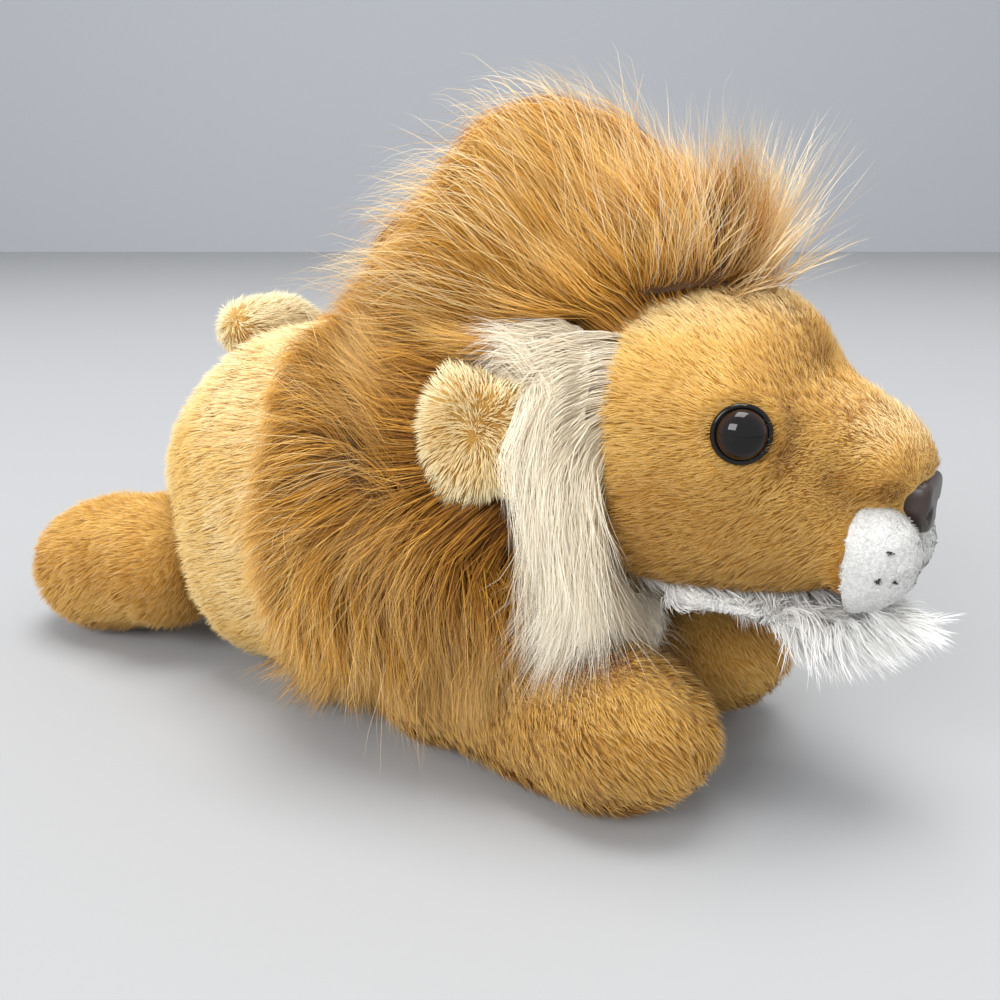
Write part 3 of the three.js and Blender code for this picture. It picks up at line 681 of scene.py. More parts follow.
def comb(surface, roots, normals, lengths, flow, lifts, hug, steps, droop):
    """Guide fibres that follow the flow over a surface, rise by their lift and sag with their weight.

    Fibres that the flow leads off the surface leave it, and those that it leads into it slide over it.
    """
    clearance, deepest, low, high = 0.0006, 0.008, 0.0008, 0.165
    paths = [roots - normals * ROOT_DEPTH]
    here, up, height = roots.copy(), normals, np.zeros(len(roots))
    for step in range(steps):
        share = (step + 0.5) / steps
        along = unit(flow(here, up))
        into = (along * up).sum(axis=1, keepdims=True)
        along = unit(along - up * np.where(into < 0, into, 0.3 * into))
        rise = lifts[0] * (1 - share) + lifts[1] * share
        rise = (rise - hug * np.maximum(height, 0) / 0.010) * smooth(-0.8, -0.1, up[:, 2])
        heading = along + up * np.broadcast_to(rise, (len(roots),))[:, None]
        heading = unit(heading + np.array([0, 0, -1.0]) * droop * share)
        here = here + heading * (lengths / steps)[:, None]
        _, up, height = surface.nearest(here)
        sunk = np.clip(clearance * (1 + step) - height, 0, deepest)
        here = here + up * sunk[:, None]
        height = height + sunk
        here[:, 2] = np.clip(here[:, 2], low, high)
        paths.append(here)
    return np.stack(paths, axis=1)


def follow(roots, guides, guide_roots, clump, rng, spread, waves):
    """Paths of fibres that follow the nearest guides and gather into locks towards their tips."""
    count, stations = len(roots), guides.shape[1]
    result = np.empty((count, stations, 3))
    moves = guides - guides[:, :1]
    share = np.linspace(0, 1, stations)[None, :, None]
    nearest = np.empty(count, dtype=np.int64)
    for low in range(0, count, FIBRES_AT_ONCE):
        some = slice(low, low + FIBRES_AT_ONCE)
        gaps = ((roots[some, None, :] - guide_roots[None]) ** 2).sum(axis=2)
        three = np.argpartition(gaps, 3, axis=1)[:, :3]
        three_gaps = np.take_along_axis(gaps, three, axis=1)
        weights = 1 / (three_gaps + 1e-7)
        weights /= weights.sum(axis=1, keepdims=True)
        result[some] = (moves[three] * weights[:, :, None, None]).sum(axis=1)
        closest = np.take_along_axis(three, three_gaps.argmin(axis=1)[:, None], axis=1)
        nearest[some] = closest[:, 0]
    own_tip = roots + result[:, -1]
    pull = guides[nearest, -1] - own_tip
    strength = clump * rng.uniform(0.35, 1.0, count)[:, None]
    result = result * rng.uniform(0.82, 1.1, count)[:, None, None]
    result += (pull * strength)[:, None, :] * share**1.6
    length = np.linalg.norm(moves[nearest, -1], axis=1)[:, None, None]
    stray = rng.normal(size=(count, 1, 3)) * spread * length * share**1.4
    phase = rng.uniform(0, 2 * np.pi, (count, 1, 3))
    wave = np.sin(share * rng.uniform(3, 7, (count, 1, 3)) + phase) - np.sin(phase)
    return roots[:, None, :] + result + stray + wave * waves * length * share


def long_pile(name, surface, body, finish_name, seed, density, guide_density, length, flow, tint, keep,
              lifts, hug=0.6, droop=0.1, clump=0.5, spread=0.04, waves=0.012, steps=5, width=None,
              twist=1.0, softness=0.45, ragged=0.25, unsteadiness=0.28, over=None):
    """Long fibres in locks, in as many pieces as keep each one small.

    Guides rise by lifts and raggedly by ragged, wander by unsteadiness, sag by droop and keep to the
    surface under them by hug. The fibres gather to their guides by clump, and part by spread and waves.
    """
    rng = np.random.default_rng(seed)
    width = width or settings("lion_pile").long_width
    guide_roots, guide_normals = surface.scatter(guide_density, rng, keep)
    lengths = length(guide_roots) if callable(length) else np.full(len(guide_roots), length)
    lengths = lengths * (1 + 0.16 * drift(guide_roots, 0.012, seed + 3))
    lengths = lengths * rng.uniform(0.85, 1.12, len(lengths))
    stray_guides = 0.6 * unsteadiness * rng.normal(size=(len(guide_roots), 3))

    def unsteady(points, normals):
        return flow(points, normals) + unsteadiness * drift_vectors(points, 0.016, seed + 30) + stray_guides

    raised = rng.normal(0, ragged, len(guide_roots))
    lifts = (lifts[0] + np.abs(raised), lifts[1] + 0.5 * raised)
    guides = comb(over or surface, guide_roots, guide_normals, lengths, unsteady, lifts, hug, steps, droop)
    roots, normals = surface.scatter(density, rng, keep)
    paths = follow(roots - normals * 0.0005, guides, guide_roots, clump, rng, spread, waves)
    tangents = unit(paths[:, -1] - paths[:, 0])
    sides = ribbon_sides(tangents, normals, rng, twist)
    taper = np.linspace(1.0, 0.35, steps)[None] * width / 2 * rng.uniform(0.65, 1.35, len(roots))[:, None]
    tints = tint(roots, normals, rng)
    groups = max(1, math.ceil(len(roots) / FIBRES_IN_PIECE))
    order = np.argsort(roots[:, 0])
    for index, chosen in enumerate(np.array_split(order, groups)):
        label = name if groups == 1 else f"{name}_{index + 1}"
        obj = strands(label, paths[chosen], taper[chosen], sides[chosen], tints[chosen],
                      finish(finish_name), normals[chosen], softness)
        ride_on(obj, body, slot_of(finish_name))


def inside(surface, points, depth):
    """True for each point that lies deeper than a depth under a closed surface."""
    feet, _, height = surface.nearest(points)
    return (height < -depth) & (np.linalg.norm(points - feet, axis=1) < 1.4 * np.abs(height) + 0.0015)


def near(surface, points, reach):
    """True for each point that lies within a reach of a surface, on either side of it."""
    feet, _, _ = surface.nearest(points)
    return np.linalg.norm(points - feet, axis=1) < reach


# ---------------------------------------------------------------- combing


def turned(angle, sideways=0.0, side=0.0):
    """Directions in the plane of the toy's length: 0 degrees forward, 90 up, 180 back, 270 down."""
    angle = np.radians(angle)
    return np.stack([np.cos(angle), sideways * np.sign(side) * np.ones_like(angle), np.sin(angle)], axis=1)


def body_flow(points, normals):
    """Short pile of the trunk lies back and down."""
    return turned(np.full(len(points), 205.0), 0.15, points[:, 1])


def head_flow(points, normals):
    """Short pile of the face lies from the nose back, up over the brow and down over the jaw."""
    x, y, z = points.T
    turn = (190 - 60 * smooth(0.086, 0.110, z) + 14 * smooth(0.078, 0.056, z)
            - 70 * smooth(0.116, 0.126, x) * smooth(0.072, 0.079, z))
    return turned(turn, 0.3, y)


def leg_flow(forward):
    def flow(points, normals):
        return turned(np.full(len(points), 325.0 if forward > 0 else 215.0), 0.25, normals[:, 1])
    return flow


def crest_flow(points, normals):
    """The mane on the head stands up at the brow and lies further back towards the neck."""
    x, y, _ = points.T
    return turned(184 - 94 * smooth(-0.005, 0.095, x), -0.12, y)


def collar_flow(points, normals):
    """The mane on the shoulders sweeps back at the top and hangs down at the sides."""
    x, y, z = points.T
    turn = (184 + 58 * smooth(0.100, 0.030, z)
            + 26 * smooth(-0.020, 0.045, x) * smooth(0.085, 0.045, z)
            + 22 * smooth(-0.010, 0.030, x) * smooth(0.064, 0.046, z))
    edge = smooth(0.0, -0.018, x)
    turn = turn * (1 - edge) + (222 + 12 * smooth(0.050, 0.030, z)) * edge
    return turned(turn, 0.10, y)


def neck_flow(points, normals):
    """The mane at the sides of the head: up and back at the crest, back behind the ear, down under it."""
    _, y, z = points.T
    turn = 130 + 50 * smooth(0.116, 0.104, z) + 45 * smooth(0.104, 0.086, z) + 32 * smooth(0.086, 0.060, z)
    return turned(turn, 0.25, y)


def ruff_flow(points, normals):
    """The ruff lies back from its seam over the ear and hangs down below it."""
    x, y, z = points.T
    turn = (188 + 46 * smooth(0.110, 0.098, z) + 34 * smooth(0.098, 0.076, z)
            + 30 * smooth(0.063, 0.046, x) * smooth(0.092, 0.072, z))
    return turned(turn, 0.02, y)


def beard_flow(points, normals):
    """The beard runs forward along the jaw, hangs at the chin and fans out round the muzzle."""
    x, y, _ = points.T
    turn = -24 - 30 * smooth(0.080, 0.106, x) + 34 * smooth(0.114, 0.128, x)
    return turned(turn, 0.40, y)


# ---------------------------------------------------------------- skins


def everywhere(points, normals):
    return np.ones(len(points))


def floor_keep(points, normals):
    """Thins the pile out where the toy rests on the floor."""
    return np.where((points[:, 2] < 0.0030) & (normals[:, 2] < -0.7), 0.12, 1.0)


def spot(points, centre, radius):
    """How near the points are to a place on either side of the toy, from 0 to 1."""
    place = np.array(centre) * MM
    flipped = points * np.where(points[:, 1:2] * place[1] < 0, np.array([1, -1, 1]), np.array([1, 1, 1]))
    return np.exp(-((np.linalg.norm(flipped - place, axis=1) / (radius * MM)) ** 2) * 2)


def face_seam(points):
    """Where along the head the tan face ends and the mane begins."""
    _, y, z = points.T
    front, back = 0.0905, 0.0205
    return (front - back * np.clip(np.abs(y) / 0.026, 0, 1) * smooth(0.085, 0.100, z)
            - back * smooth(0.100, 0.085, z))


def tan_tint(points, normals, rng, base):
    tint = base + 0.10 * drift(points, 0.018, 3) + 0.08 * drift(points, 0.006, 4)
    # Painted light: pile that faces upwards is made lighter, as if lit from above.
    tint += 0.22 * smooth(0.2, 0.95, normals[:, 2])
    return tint + rng.normal(0, 0.07, len(points))


def body_tint(points, normals, rng):
    return tan_tint(points, normals, rng, 0.62)


def head_tint(points, normals, rng):
    tint = tan_tint(points, normals, rng, 0.24)
    # Painted shade in the partings of the pile, in front of the eye and beside the snout.
    parting_shade = smooth(0.15, 0.6, drift(points, 0.0042, 17)) * (
        spot(points, (108, -20, 92), 14) + 0.7 * spot(points, (112, -16, 78), 8))
    tint -= 0.28 * parting_shade
    # The two deepest patches, in the dents in front of the eye and beside the snout, are painted shade; the
    # others darken the back of the cheek, below it and in front of the ear.
    for centre, radius, depth in (
            ((103, -24, 87), 5, 0.35), ((82, -36, 72), 12, 0.22), ((113, -16, 79), 5, 0.30),
            ((98, -28, 60), 8, 0.10), ((80, -36, 96), 9, 0.08)):
        tint -= depth * spot(points, centre, radius)
    # Painted light: the top of the snout and the top of the head are made lighter, as lit from above.
    tint += 0.36 * smooth(0.106, 0.120, points[:, 0]) * smooth(0.078, 0.090, points[:, 2])
    return tint + 0.26 * smooth(0.100, 0.114, points[:, 2])


class LION_OT_torso(bpy.types.Operator):
    """Trunk: stuffed skin, its filling and its short pile"""

    bl_idname = "lion.torso"
    bl_label = "Torso"

    def execute(self, context):
        skin, pile = settings("lion_skin"), settings("lion_pile")
        nodes = ("torso_skin", "torso_stuffing")
        torso = stuffed("torso_cloth", nodes, skin.tuck, skin.voxel, floor=CLOTH_GAP)
        dress(torso, finish("tan_cloth"))
        collar = Surface(frame_copy("mane_collar"))
        mane_front, mane_rear = -0.005, -0.019

        def under_mane(points):
            x, _, z = points.T
            return (z > 0.010) & ((x > mane_front) | (near(collar, points, 0.0035) & (x > mane_rear)))

        line_with(torso, finish("brown_cloth"), under_mane)
        ride_on(torso, "torso", "tan_plush", *nodes)
        surface = Surface(torso)
        _surfaces["torso"] = surface

        def keep(points, normals):
            front = (points[:, 0] > mane_front) & (points[:, 2] > 0.008)
            covered = near(collar, points, 0.003) & (points[:, 0] > mane_rear)
            return np.where(front | covered, 0.0, floor_keep(points, normals))

        short_pile("torso_pile", surface, "torso", "tan_pile", 11, 2.35,
                   pile.short_length * 1.05, body_flow, body_tint, keep, lift=38)
        return {"FINISHED"}


class LION_OT_head(bpy.types.Operator):
    """Head: stuffed skin with brow, cheeks and eye sockets, its filling, its short pile and the brown
    backing under its mane
    """

    bl_idname = "lion.head"
    bl_label = "Head"

    def execute(self, context):
        skin, pile = settings("lion_skin"), settings("lion_pile")

        def sculpt(points, normals):
            return pressed(
                points, normals,
                ((101, 0, 112), (9, 18, 6), -2.6), ((108.5, 0, 101.5), (6, 20, 6), 3.4),
                ((124, 0, 86), (9, 12, 10), -3.0), ((118, 0, 92), (7, 12, 6), -0.8),
                ((104, 24, 87), (5, 6, 5), 1.2), ((113, 17, 80), (5, 6, 5), 1.4),
                ((95, 27, 90), (8, 8, 8), -3.3), ((84, 37, 68), (14, 8, 12), -0.8),
                ((121, 8, 72), (6, 6, 7), 1.6))

        nodes = ("head_skin", "head_stuffing")
        head = stuffed("head_cloth", (*nodes, "muzzle_patch", "nose"), skin.tuck, 0.003, sculpt)
        cover(head, 0.0009, "eye_washer_left", "eye_washer_right", "nose_washer")
        dress(head, finish("tan_cloth"))
        line_with(head, finish("brown_cloth"), lambda p: p[:, 0] < face_seam(p) - 0.0135)
        line_with(head, finish("white_cloth"), lambda p: (p[:, 0] > 0.052) & (p[:, 2] < 0.0500))
        ride_on(head, "head", "tan_plush", *nodes)
        surface = Surface(head)
        _surfaces["head"] = surface
        muzzle, nose = Surface(frame_copy("muzzle_patch")), Surface(frame_copy("nose"))
        eye_place, eye_gap = [0.0952, 0.0262, 0.090], 0.0056

        def face_keep(points, normals):
            from_eye = points * [1, 0, 1] + np.abs(points) * [0, 1, 0] - eye_place
            edge = face_seam(points) - 0.006 * smooth(0.104, 0.110, points[:, 2])
            hidden = (points[:, 0] < edge) | (np.linalg.norm(from_eye, axis=1) < eye_gap)
            hidden |= (points[:, 2] < 0.0520) & (normals[:, 2] < -0.62) & (points[:, 0] < 0.120)
            front = points[:, 0] > 0.100
            hidden[front] |= inside(muzzle, points[front], 0.0004) | inside(nose, points[front], -0.0003)
            return np.where(hidden, 0.0, 1.0)

        def face_length(points):
            return pile.short_length * (0.80 - 0.45 * spot(points, (128, 0, 82), 10))

        short_pile("head_pile", surface, "head", "tan_pile", 21, 6.2,
                   face_length, head_flow, head_tint, face_keep, lift=42, width=0.00017)
        return {"FINISHED"}


class LION_OT_legs(bpy.types.Operator):
    """Four legs: stuffed skins, fillings and short pile"""

    bl_idname = "lion.legs"
    bl_label = "Legs"

    def execute(self, context):
        skin, pile = settings("lion_skin"), settings("lion_pile")
        for kind, forward, seed, density in (("front", 1.0, 31, 2.9), ("hind", -1.0, 41, 2.4)):
            for name, side in SIDES:
                body = f"{kind}_leg_{name}"
                nodes = (f"{body}_skin", f"{body}_stuffing")
                leg = stuffed(f"{body}_cloth", nodes, skin.tuck, skin.voxel, floor=CLOTH_GAP)
                fit(leg, "tan_cloth", body, *nodes, padding=0.75)
                surface = Surface(leg)
                _surfaces[body] = surface
                short_pile(f"{body}_pile", surface, body, "tan_pile",
                           seed + (side < 0), density, pile.short_length, leg_flow(forward), paw_tint,
                           floor_keep, lift=46, width=0.00022)
        return {"FINISHED"}


# ---------------------------------------------------------------- mane


def core(name, node, inset, voxel=0.003, bottom=1.0, base=None, back=0.0):
    """The cloth and underfur in a pile piece: its form drawn in and smoothed, less so on its underside.

    Over a base surface the form is pressed towards it instead, so that its thin rims don't turn inside out,
    and a part behind the given x goes under it.
    """
    obj = copy_of_nodes(name, node)
    apply_modifier(obj, "REMESH", mode="VOXEL", voxel_size=voxel)
    apply_modifier(obj, "SMOOTH", factor=0.5, iterations=4)
    points, normals = points_of(obj.data), normals_of(obj.data)
    if base is None:
        share = bottom + (1 - bottom) * smooth(-0.5, 0.3, normals[:, 2])
        set_points(obj.data, points - normals * (inset * share)[:, None])
    else:
        feet, ups, height = base.nearest(points)
        height = np.maximum(height - inset, 0.4 * height)
        buried, slope = -0.0006, 0.9
        height = np.minimum(height, buried + slope * np.maximum(points[:, 0] - back, 0))
        set_points(obj.data, feet + ups * height[:, None])
    apply_modifier(obj, "SMOOTH", factor=0.5, iterations=2)
    shade_smooth(obj)
    return obj


def paw_tint(points, normals, rng):
    hind = smooth(-0.055, -0.070, points[:, 0])
    under = smooth(0.030, 0.010, points[:, 2]) * smooth(0.5, -0.2, normals[:, 2])
    # Painted shade: the hind legs are made darker, and the front paws darker where they lie under the head.
    # The low, down-facing part of the legs is lighter.
    return (tan_tint(points, normals, rng, 0.16) - 0.09 * hind - 0.22 * spot(points, (74, -28, 24), 18)
            + 0.16 * under)


def brown_tint(points, normals, rng, base=0.50):
    tint = base + 0.12 * drift(points, 0.016, 51) + 0.12 * drift(points, 0.005, 52)
    return tint + rng.normal(0, 0.20, len(points))


def brown_tint_with_painted_shade(points, normals, rng):
    """Brown with painted shade that deepens downwards past the ears, and painted light over the top of the
    head.
    """
    z = points[:, 2]
    tint = brown_tint(points, normals, rng, 0.44)
    return tint - 0.30 * smooth(0.108, 0.085, z) + 0.10 * smooth(0.108, 0.118, z)


class LION_OT_mane(bpy.types.Operator):
    """Mane: crest on the head and collar on the shoulders, each a backing with long pile"""

    bl_idname = "lion.mane"
    bl_label = "Mane"

    def execute(self, context):
        pile = settings("lion_pile")
        crest = core("mane_crest_cloth", "mane_crest", 0.0050, bottom=-0.2)
        points = points_of(crest.data)
        points[:, 0] -= 0.62 * np.maximum(points[:, 0] - 0.076, 0)
        set_points(crest.data, points)
        fit(crest, "brown_cloth", "head", "mane_crest")
        torso, head = _surfaces["torso"], _surfaces["head"]
        collar = core("mane_collar_cloth", "mane_collar", 0.0040, base=torso, back=-0.020)
        fit(collar, "brown_cloth", "torso", "mane_collar")
        crest, collar = Surface(crest), Surface(collar)
        collar_form, head_form = Surface(frame_copy("mane_collar")), Surface(frame_copy("head_skin"))
        _surfaces["collar"] = collar
        legs = [_surfaces["front_leg_left"], _surfaces["front_leg_right"]]
        body = Surface(torso, head, crest, collar, *legs)

        def crest_keep(points, normals):
            return np.where(normals[:, 2] < -0.75, 0.1, 1.0) * smooth(0.082, 0.064, points[:, 0])

        def brow_keep(points, normals):
            return np.where(normals[:, 2] < -0.75, 0.1, 1.0) * smooth(0.062, 0.074, points[:, 0])

        def brow_flow(points, normals):
            x, y, _ = points.T
            front = smooth(0.068, 0.084, x)
            turn = 112 + front * (24 * normals[:, 2] - 34) - 16 * normals[:, 0]
            return turned(turn, 0.25, y)

        def brow_tint(points, normals, rng):
            return brown_tint(points, normals, rng, 0.58)

        def crest_tint(points, normals, rng):
            # Painted light: the crest is lighter towards its top. Close to the face seam, lower down, it is
            # darker.
            tint = brown_tint(points, normals, rng, 0.42) + 0.14 * smooth(0.125, 0.150, points[:, 2])
            seam = face_seam(points) - points[:, 0]
            return tint - 0.22 * smooth(0.012, 0.0, seam) * smooth(0.122, 0.112, points[:, 2])

        def crest_length(points):
            return pile.crest_length * (1 - 0.52 * smooth(0.044, 0.076, points[:, 0])
                                        + 0.05 * smooth(0.030, 0.005, points[:, 0]))

        long_pile("mane_crest_pile", crest, "head", "brown_pile", 61, 3.2, 0.14,
                  crest_length, crest_flow, crest_tint, crest_keep, lifts=(0.20, 0.0), hug=1.1, droop=0.04,
                  clump=0.30, ragged=0.28, spread=0.08, width=0.00016, over=body)
        for label, finish_name, seed, density, reach in (
                ("mane_brow_pile", "brown_pile", 66, 1.5, 0.013),
                ("mane_brow_blonde", "blonde_pile", 68, 0.9, 0.020)):
            long_pile(label, crest, "head", finish_name, seed, density, 0.5,
                      reach, brow_flow, brow_tint, brow_keep, lifts=(0.30, 0.10), hug=0.0, droop=0.0,
                      clump=0.40, ragged=0.45, spread=0.12, unsteadiness=0.50, width=0.00016, over=body)
        long_pile("mane_crest_strays", crest, "head", "blonde_pile", 64, 0.20, 0.06,
                  crest_length, crest_flow, crest_tint, crest_keep, lifts=(0.55, 0.30), hug=0.4,
                  droop=0.0, clump=0.15, spread=0.12, waves=0.02, ragged=0.35, unsteadiness=0.35,
                  width=0.00015, over=body)

        def neck_keep(points, normals):
            x, _, z = points.T
            seat = np.array([25, 0, 62]) * MM - points
            facing = (np.linalg.norm(seat, axis=1) < 0.0450) & ((normals * unit(seat)).sum(axis=1) > 0.5)
            ruff = (x > 0.058) & (z < 0.106) & (z > 0.044)
            ear = (x > 0.034) & (np.abs(z - 0.085) < 0.015)
            hidden = (x > face_seam(points) - 0.0005) | facing | (normals[:, 2] < -0.7) | ruff | ear
            hidden[~hidden] = inside(crest, points[~hidden], 0.0005)
            return np.where(hidden, 0.0, 1.0)

        long_pile("head_mane_pile", head, "head", "brown_pile", 25, 3.0, 0.2,
                  pile.neck_length, neck_flow, brown_tint_with_painted_shade, neck_keep, lifts=(0.85, 0.10), hug=0.35,
                  clump=0.35, spread=0.05, steps=4, over=body)

        def front_keep(points, normals):
            x, y, z = points.T
            covered = (x < -0.012) | (z < 0.012) | ((x > 0.045) & (np.abs(y) < 0.028) & (z < 0.06))
            open_part = ~covered
            covered[open_part] = near(collar_form, points[open_part], 0.0022) | near(
                head_form, points[open_part], 0.0045)
            return np.where(covered, 0.0, 1.0)

        def torso_length(points):
            x, _, z = points.T
            return pile.neck_length * (1.15 - 0.75 * smooth(0.036, -0.006, x) * smooth(0.020, 0.044, z)
                                       - 0.45 * smooth(0.030, -0.006, x) * smooth(0.044, 0.020, z))

        long_pile("torso_mane_pile", torso, "torso", "brown_pile", 15, 1.8, 0.16,
                  torso_length, collar_flow, brown_tint_with_painted_shade, front_keep, lifts=(0.6, 0.1), hug=0.35,
                  clump=0.35, spread=0.06, steps=4, width=0.00023, over=body)

        def collar_keep(points, normals):
            return np.where(inside(torso, points, -0.0005) | (points[:, 0] < -0.0205), 0.0, 1.0)

        def collar_tint(points, normals, rng):
            x, _, z = points.T
            tint = brown_tint(points, normals, rng, 0.32)
            # Painted shade on the front of the collar below the head and ears, and painted light on its
            # top; its rear edge is lighter.
            tint -= 0.26 * smooth(0.005, 0.036, x) * smooth(0.026, 0.044, z) * smooth(0.100, 0.076, z)
            return tint + 0.16 * smooth(0.085, 0.115, z) + 0.12 * smooth(0.0, -0.02, x)

        def collar_length(points):
            x, _, z = points.T
            fringe = smooth(0.062, 0.044, z) * smooth(0.010, 0.030, x)
            rear = smooth(0.016, -0.014, x) * smooth(0.026, 0.044, z)
            return pile.collar_length * (1 + 0.35 * fringe - 0.58 * rear
                                         - 0.50 * smooth(0.044, 0.024, z) * smooth(0.030, 0.010, x))

        long_pile("mane_collar_pile", collar, "torso", "brown_pile", 71, 1.9, 0.08,
                  collar_length, collar_flow, collar_tint, collar_keep, lifts=(0.42, 0.06), hug=0.6,
                  droop=0.10, clump=0.30, ragged=0.30, spread=0.09, steps=4, over=body)
        long_pile("mane_collar_strays", collar, "torso", "blonde_pile", 74, 0.13, 0.06,
                  collar_length, collar_flow, collar_tint, collar_keep, lifts=(0.50, 0.15), hug=0.4,
                  droop=0.02, clump=0.15, spread=0.14, waves=0.02, ragged=0.3, unsteadiness=0.6,
                  width=0.00014, over=body)
        self.brow_wisps()
        return {"FINISHED"}

    def brow_wisps(self):
        """Loose pale wisps that fan out from the front of the crest."""
        rng = np.random.default_rng(67)
        surface = _surfaces["head"]
        tufts = ((104, 42), (96, 40), (84, 38), (78, 38), (68, 40), (60, 38), (48, 32), (38, 28), (26, 26),
                 (14, 22), (4, 20), (-8, 17), (-18, 12))
        roots, tips = [], []
        for angle, reach in tufts:
            side = rng.uniform(-1, 1)
            foot = np.array([0.0885 - 0.004 * abs(side) + rng.normal(0, 0.0012), 0.010 * side, 0.1185])
            aim = np.array([math.cos(math.radians(angle)), 0.45 * side, math.sin(math.radians(angle))])
            hairs = 34 if reach > 25 else 20
            for _ in range(hairs):
                root = foot + rng.normal(0, 0.0016, 3) * np.array([1, 1.6, 0.2])
                direction = unit(aim + rng.normal(0, 0.10, 3))
                roots.append(root)
                tips.append(root + direction * reach * MM * rng.uniform(0.40, 0.92))
        roots, tips = np.array(roots), np.array(tips)
        feet, ups, _ = surface.nearest(roots)
        share = np.linspace(0, 1, 6)[None, :, None]
        bow = rng.normal(0, 0.05, (len(roots), 1, 3)) + np.array([-0.05, 0, 0.08])
        length = np.linalg.norm(tips - feet, axis=1)[:, None, None]
        straight = feet[:, None, :] * (1 - share) + tips[:, None, :] * share
        paths = straight + bow * length * share * (1 - share) * 2
        sides = ribbon_sides(unit(tips - feet), ups, rng, 1.4)
        taper = np.linspace(1.0, 0.4, 5)[None] * rng.uniform(0.00006, 0.00010, len(roots))[:, None]
        obj = strands("mane_brow_wisps", paths, taper, sides, rng.uniform(0.3, 0.95, len(roots)),
                      finish("blonde_pile"), ups, 0.3)
        ride_on(obj, "head", slot_of("blonde_pile"))


class LION_OT_ruffs(bpy.types.Operator):
    """Cream ruffs in front of the ears"""

    bl_idname = "lion.ruffs"
    bl_label = "Ruffs"

    def execute(self, context):
        pile = settings("lion_pile")
        head = _surfaces["head"]
        for name, side in SIDES:
            pad = core(f"ruff_{name}_cloth", f"ruff_{name}", 0.0016, 0.0018)
            points = points_of(pad.data)
            feet, ups, height = head.nearest(points)
            seam, edge, slope = 0.0695, 0.0006, 0.4
            wedge = edge + slope * np.clip(seam - points[:, 0], 0, 0.03)
            set_points(pad.data, feet + ups * np.minimum(height, wedge)[:, None])
            fit(pad, "cream_cloth", "head", f"ruff_{name}")
            pad = Surface(pad)
            over = Surface(head, _surfaces[f"ear_{name}"], _surfaces[f"front_leg_{name}"])

            def pad_keep(points, normals, side=side):
                low = (points[:, 2] < 0.070) & (points[:, 0] < 0.0585)
                return np.where(low | (normals[:, 1] * side < -0.35), 0.0, 1.0)

            def strip_keep(points, normals, side=side):
                x, y, z = points.T
                seam = face_seam(points)
                behind_seam = (x < seam + 0.0003) & (x > seam - 0.014)
                return np.where(behind_seam & (z > 0.049) & (z < 0.107) & (y * side > 0.024), 1.0, 0.0)

            def tint(points, normals, rng):
                base = 0.60 - 0.34 * smooth(0.080, 0.054, points[:, 2])
                return base + 0.16 * drift(points, 0.007, 81) + rng.normal(0, 0.14, len(points))

            def length(points):
                x, _, z = points.T
                share = 0.58 + 0.30 * smooth(0.105, 0.075, z) - 0.36 * smooth(0.068, 0.046, z)
                return pile.ruff_length * (share - 0.22 * smooth(0.062, 0.048, x) * smooth(0.080, 0.060, z))

            for part, surface, keep in (("pad", pad, pad_keep), ("strip", head, strip_keep)):
                long_pile(f"ruff_{name}_{part}_pile", surface, "head", "cream_pile", 83 + (side < 0), 6.5,
                          0.3, length, ruff_flow, tint, keep, lifts=(0.50, 0.02), hug=0.35, droop=0.15,
                          clump=0.20, spread=0.085, waves=0.02, ragged=0.2, width=0.00015, over=over)
        return {"FINISHED"}


class LION_OT_beard(bpy.types.Operator):
    """White beard along the jaw and the pale bib on the chest"""

    bl_idname = "lion.beard"
    bl_label = "Beard and bib"

    def execute(self, context):
        pile = settings("lion_pile")
        beard = core("beard_cloth", "beard", 0.0030, 0.0020)
        fit(beard, "white_cloth", "head", "beard")

        def tint(points, normals, rng):
            return 0.82 + 0.08 * drift(points, 0.006, 91) + rng.normal(0, 0.10, len(points))

        def length(points):
            return pile.beard_length * (0.55 + 0.45 * smooth(0.080, 0.105, points[:, 0]))

        long_pile("beard_pile", Surface(beard), "head", "white_pile", 93, 3.0, 0.3,
                  length, beard_flow, tint, everywhere, lifts=(0.35, 0.1), hug=0.3, droop=0.12,
                  clump=0.25, spread=0.10, ragged=0.3, width=0.00030, twist=1.5, softness=0.0)

        def jaw_keep(points, normals):
            x, _, z = points.T
            return np.where((x > 0.052) & (x < 0.122) & (z < 0.0530) & (normals[:, 2] < -0.50), 1.0, 0.0)

        long_pile("jaw_pile", _surfaces["head"], "head", "white_pile", 95, 3.6, 0.3,
                  0.009, beard_flow, tint, jaw_keep, lifts=(0.35, 0.1), hug=0.5, droop=0.1,
                  clump=0.25, spread=0.10, ragged=0.2, steps=4, width=0.00030, twist=1.5, softness=0.0)
        bib = core("chest_bib_cloth", "chest_bib", 0.0012, 0.0022)
        fit(bib, "cream_cloth", "torso", "chest_bib")
        short_pile("chest_bib_pile", Surface(bib), "torso", "cream_pile", 97, 4.0,
                   0.0050, lambda p, n: turned(np.full(len(p), 285.0)), tint, everywhere)
        return {"FINISHED"}


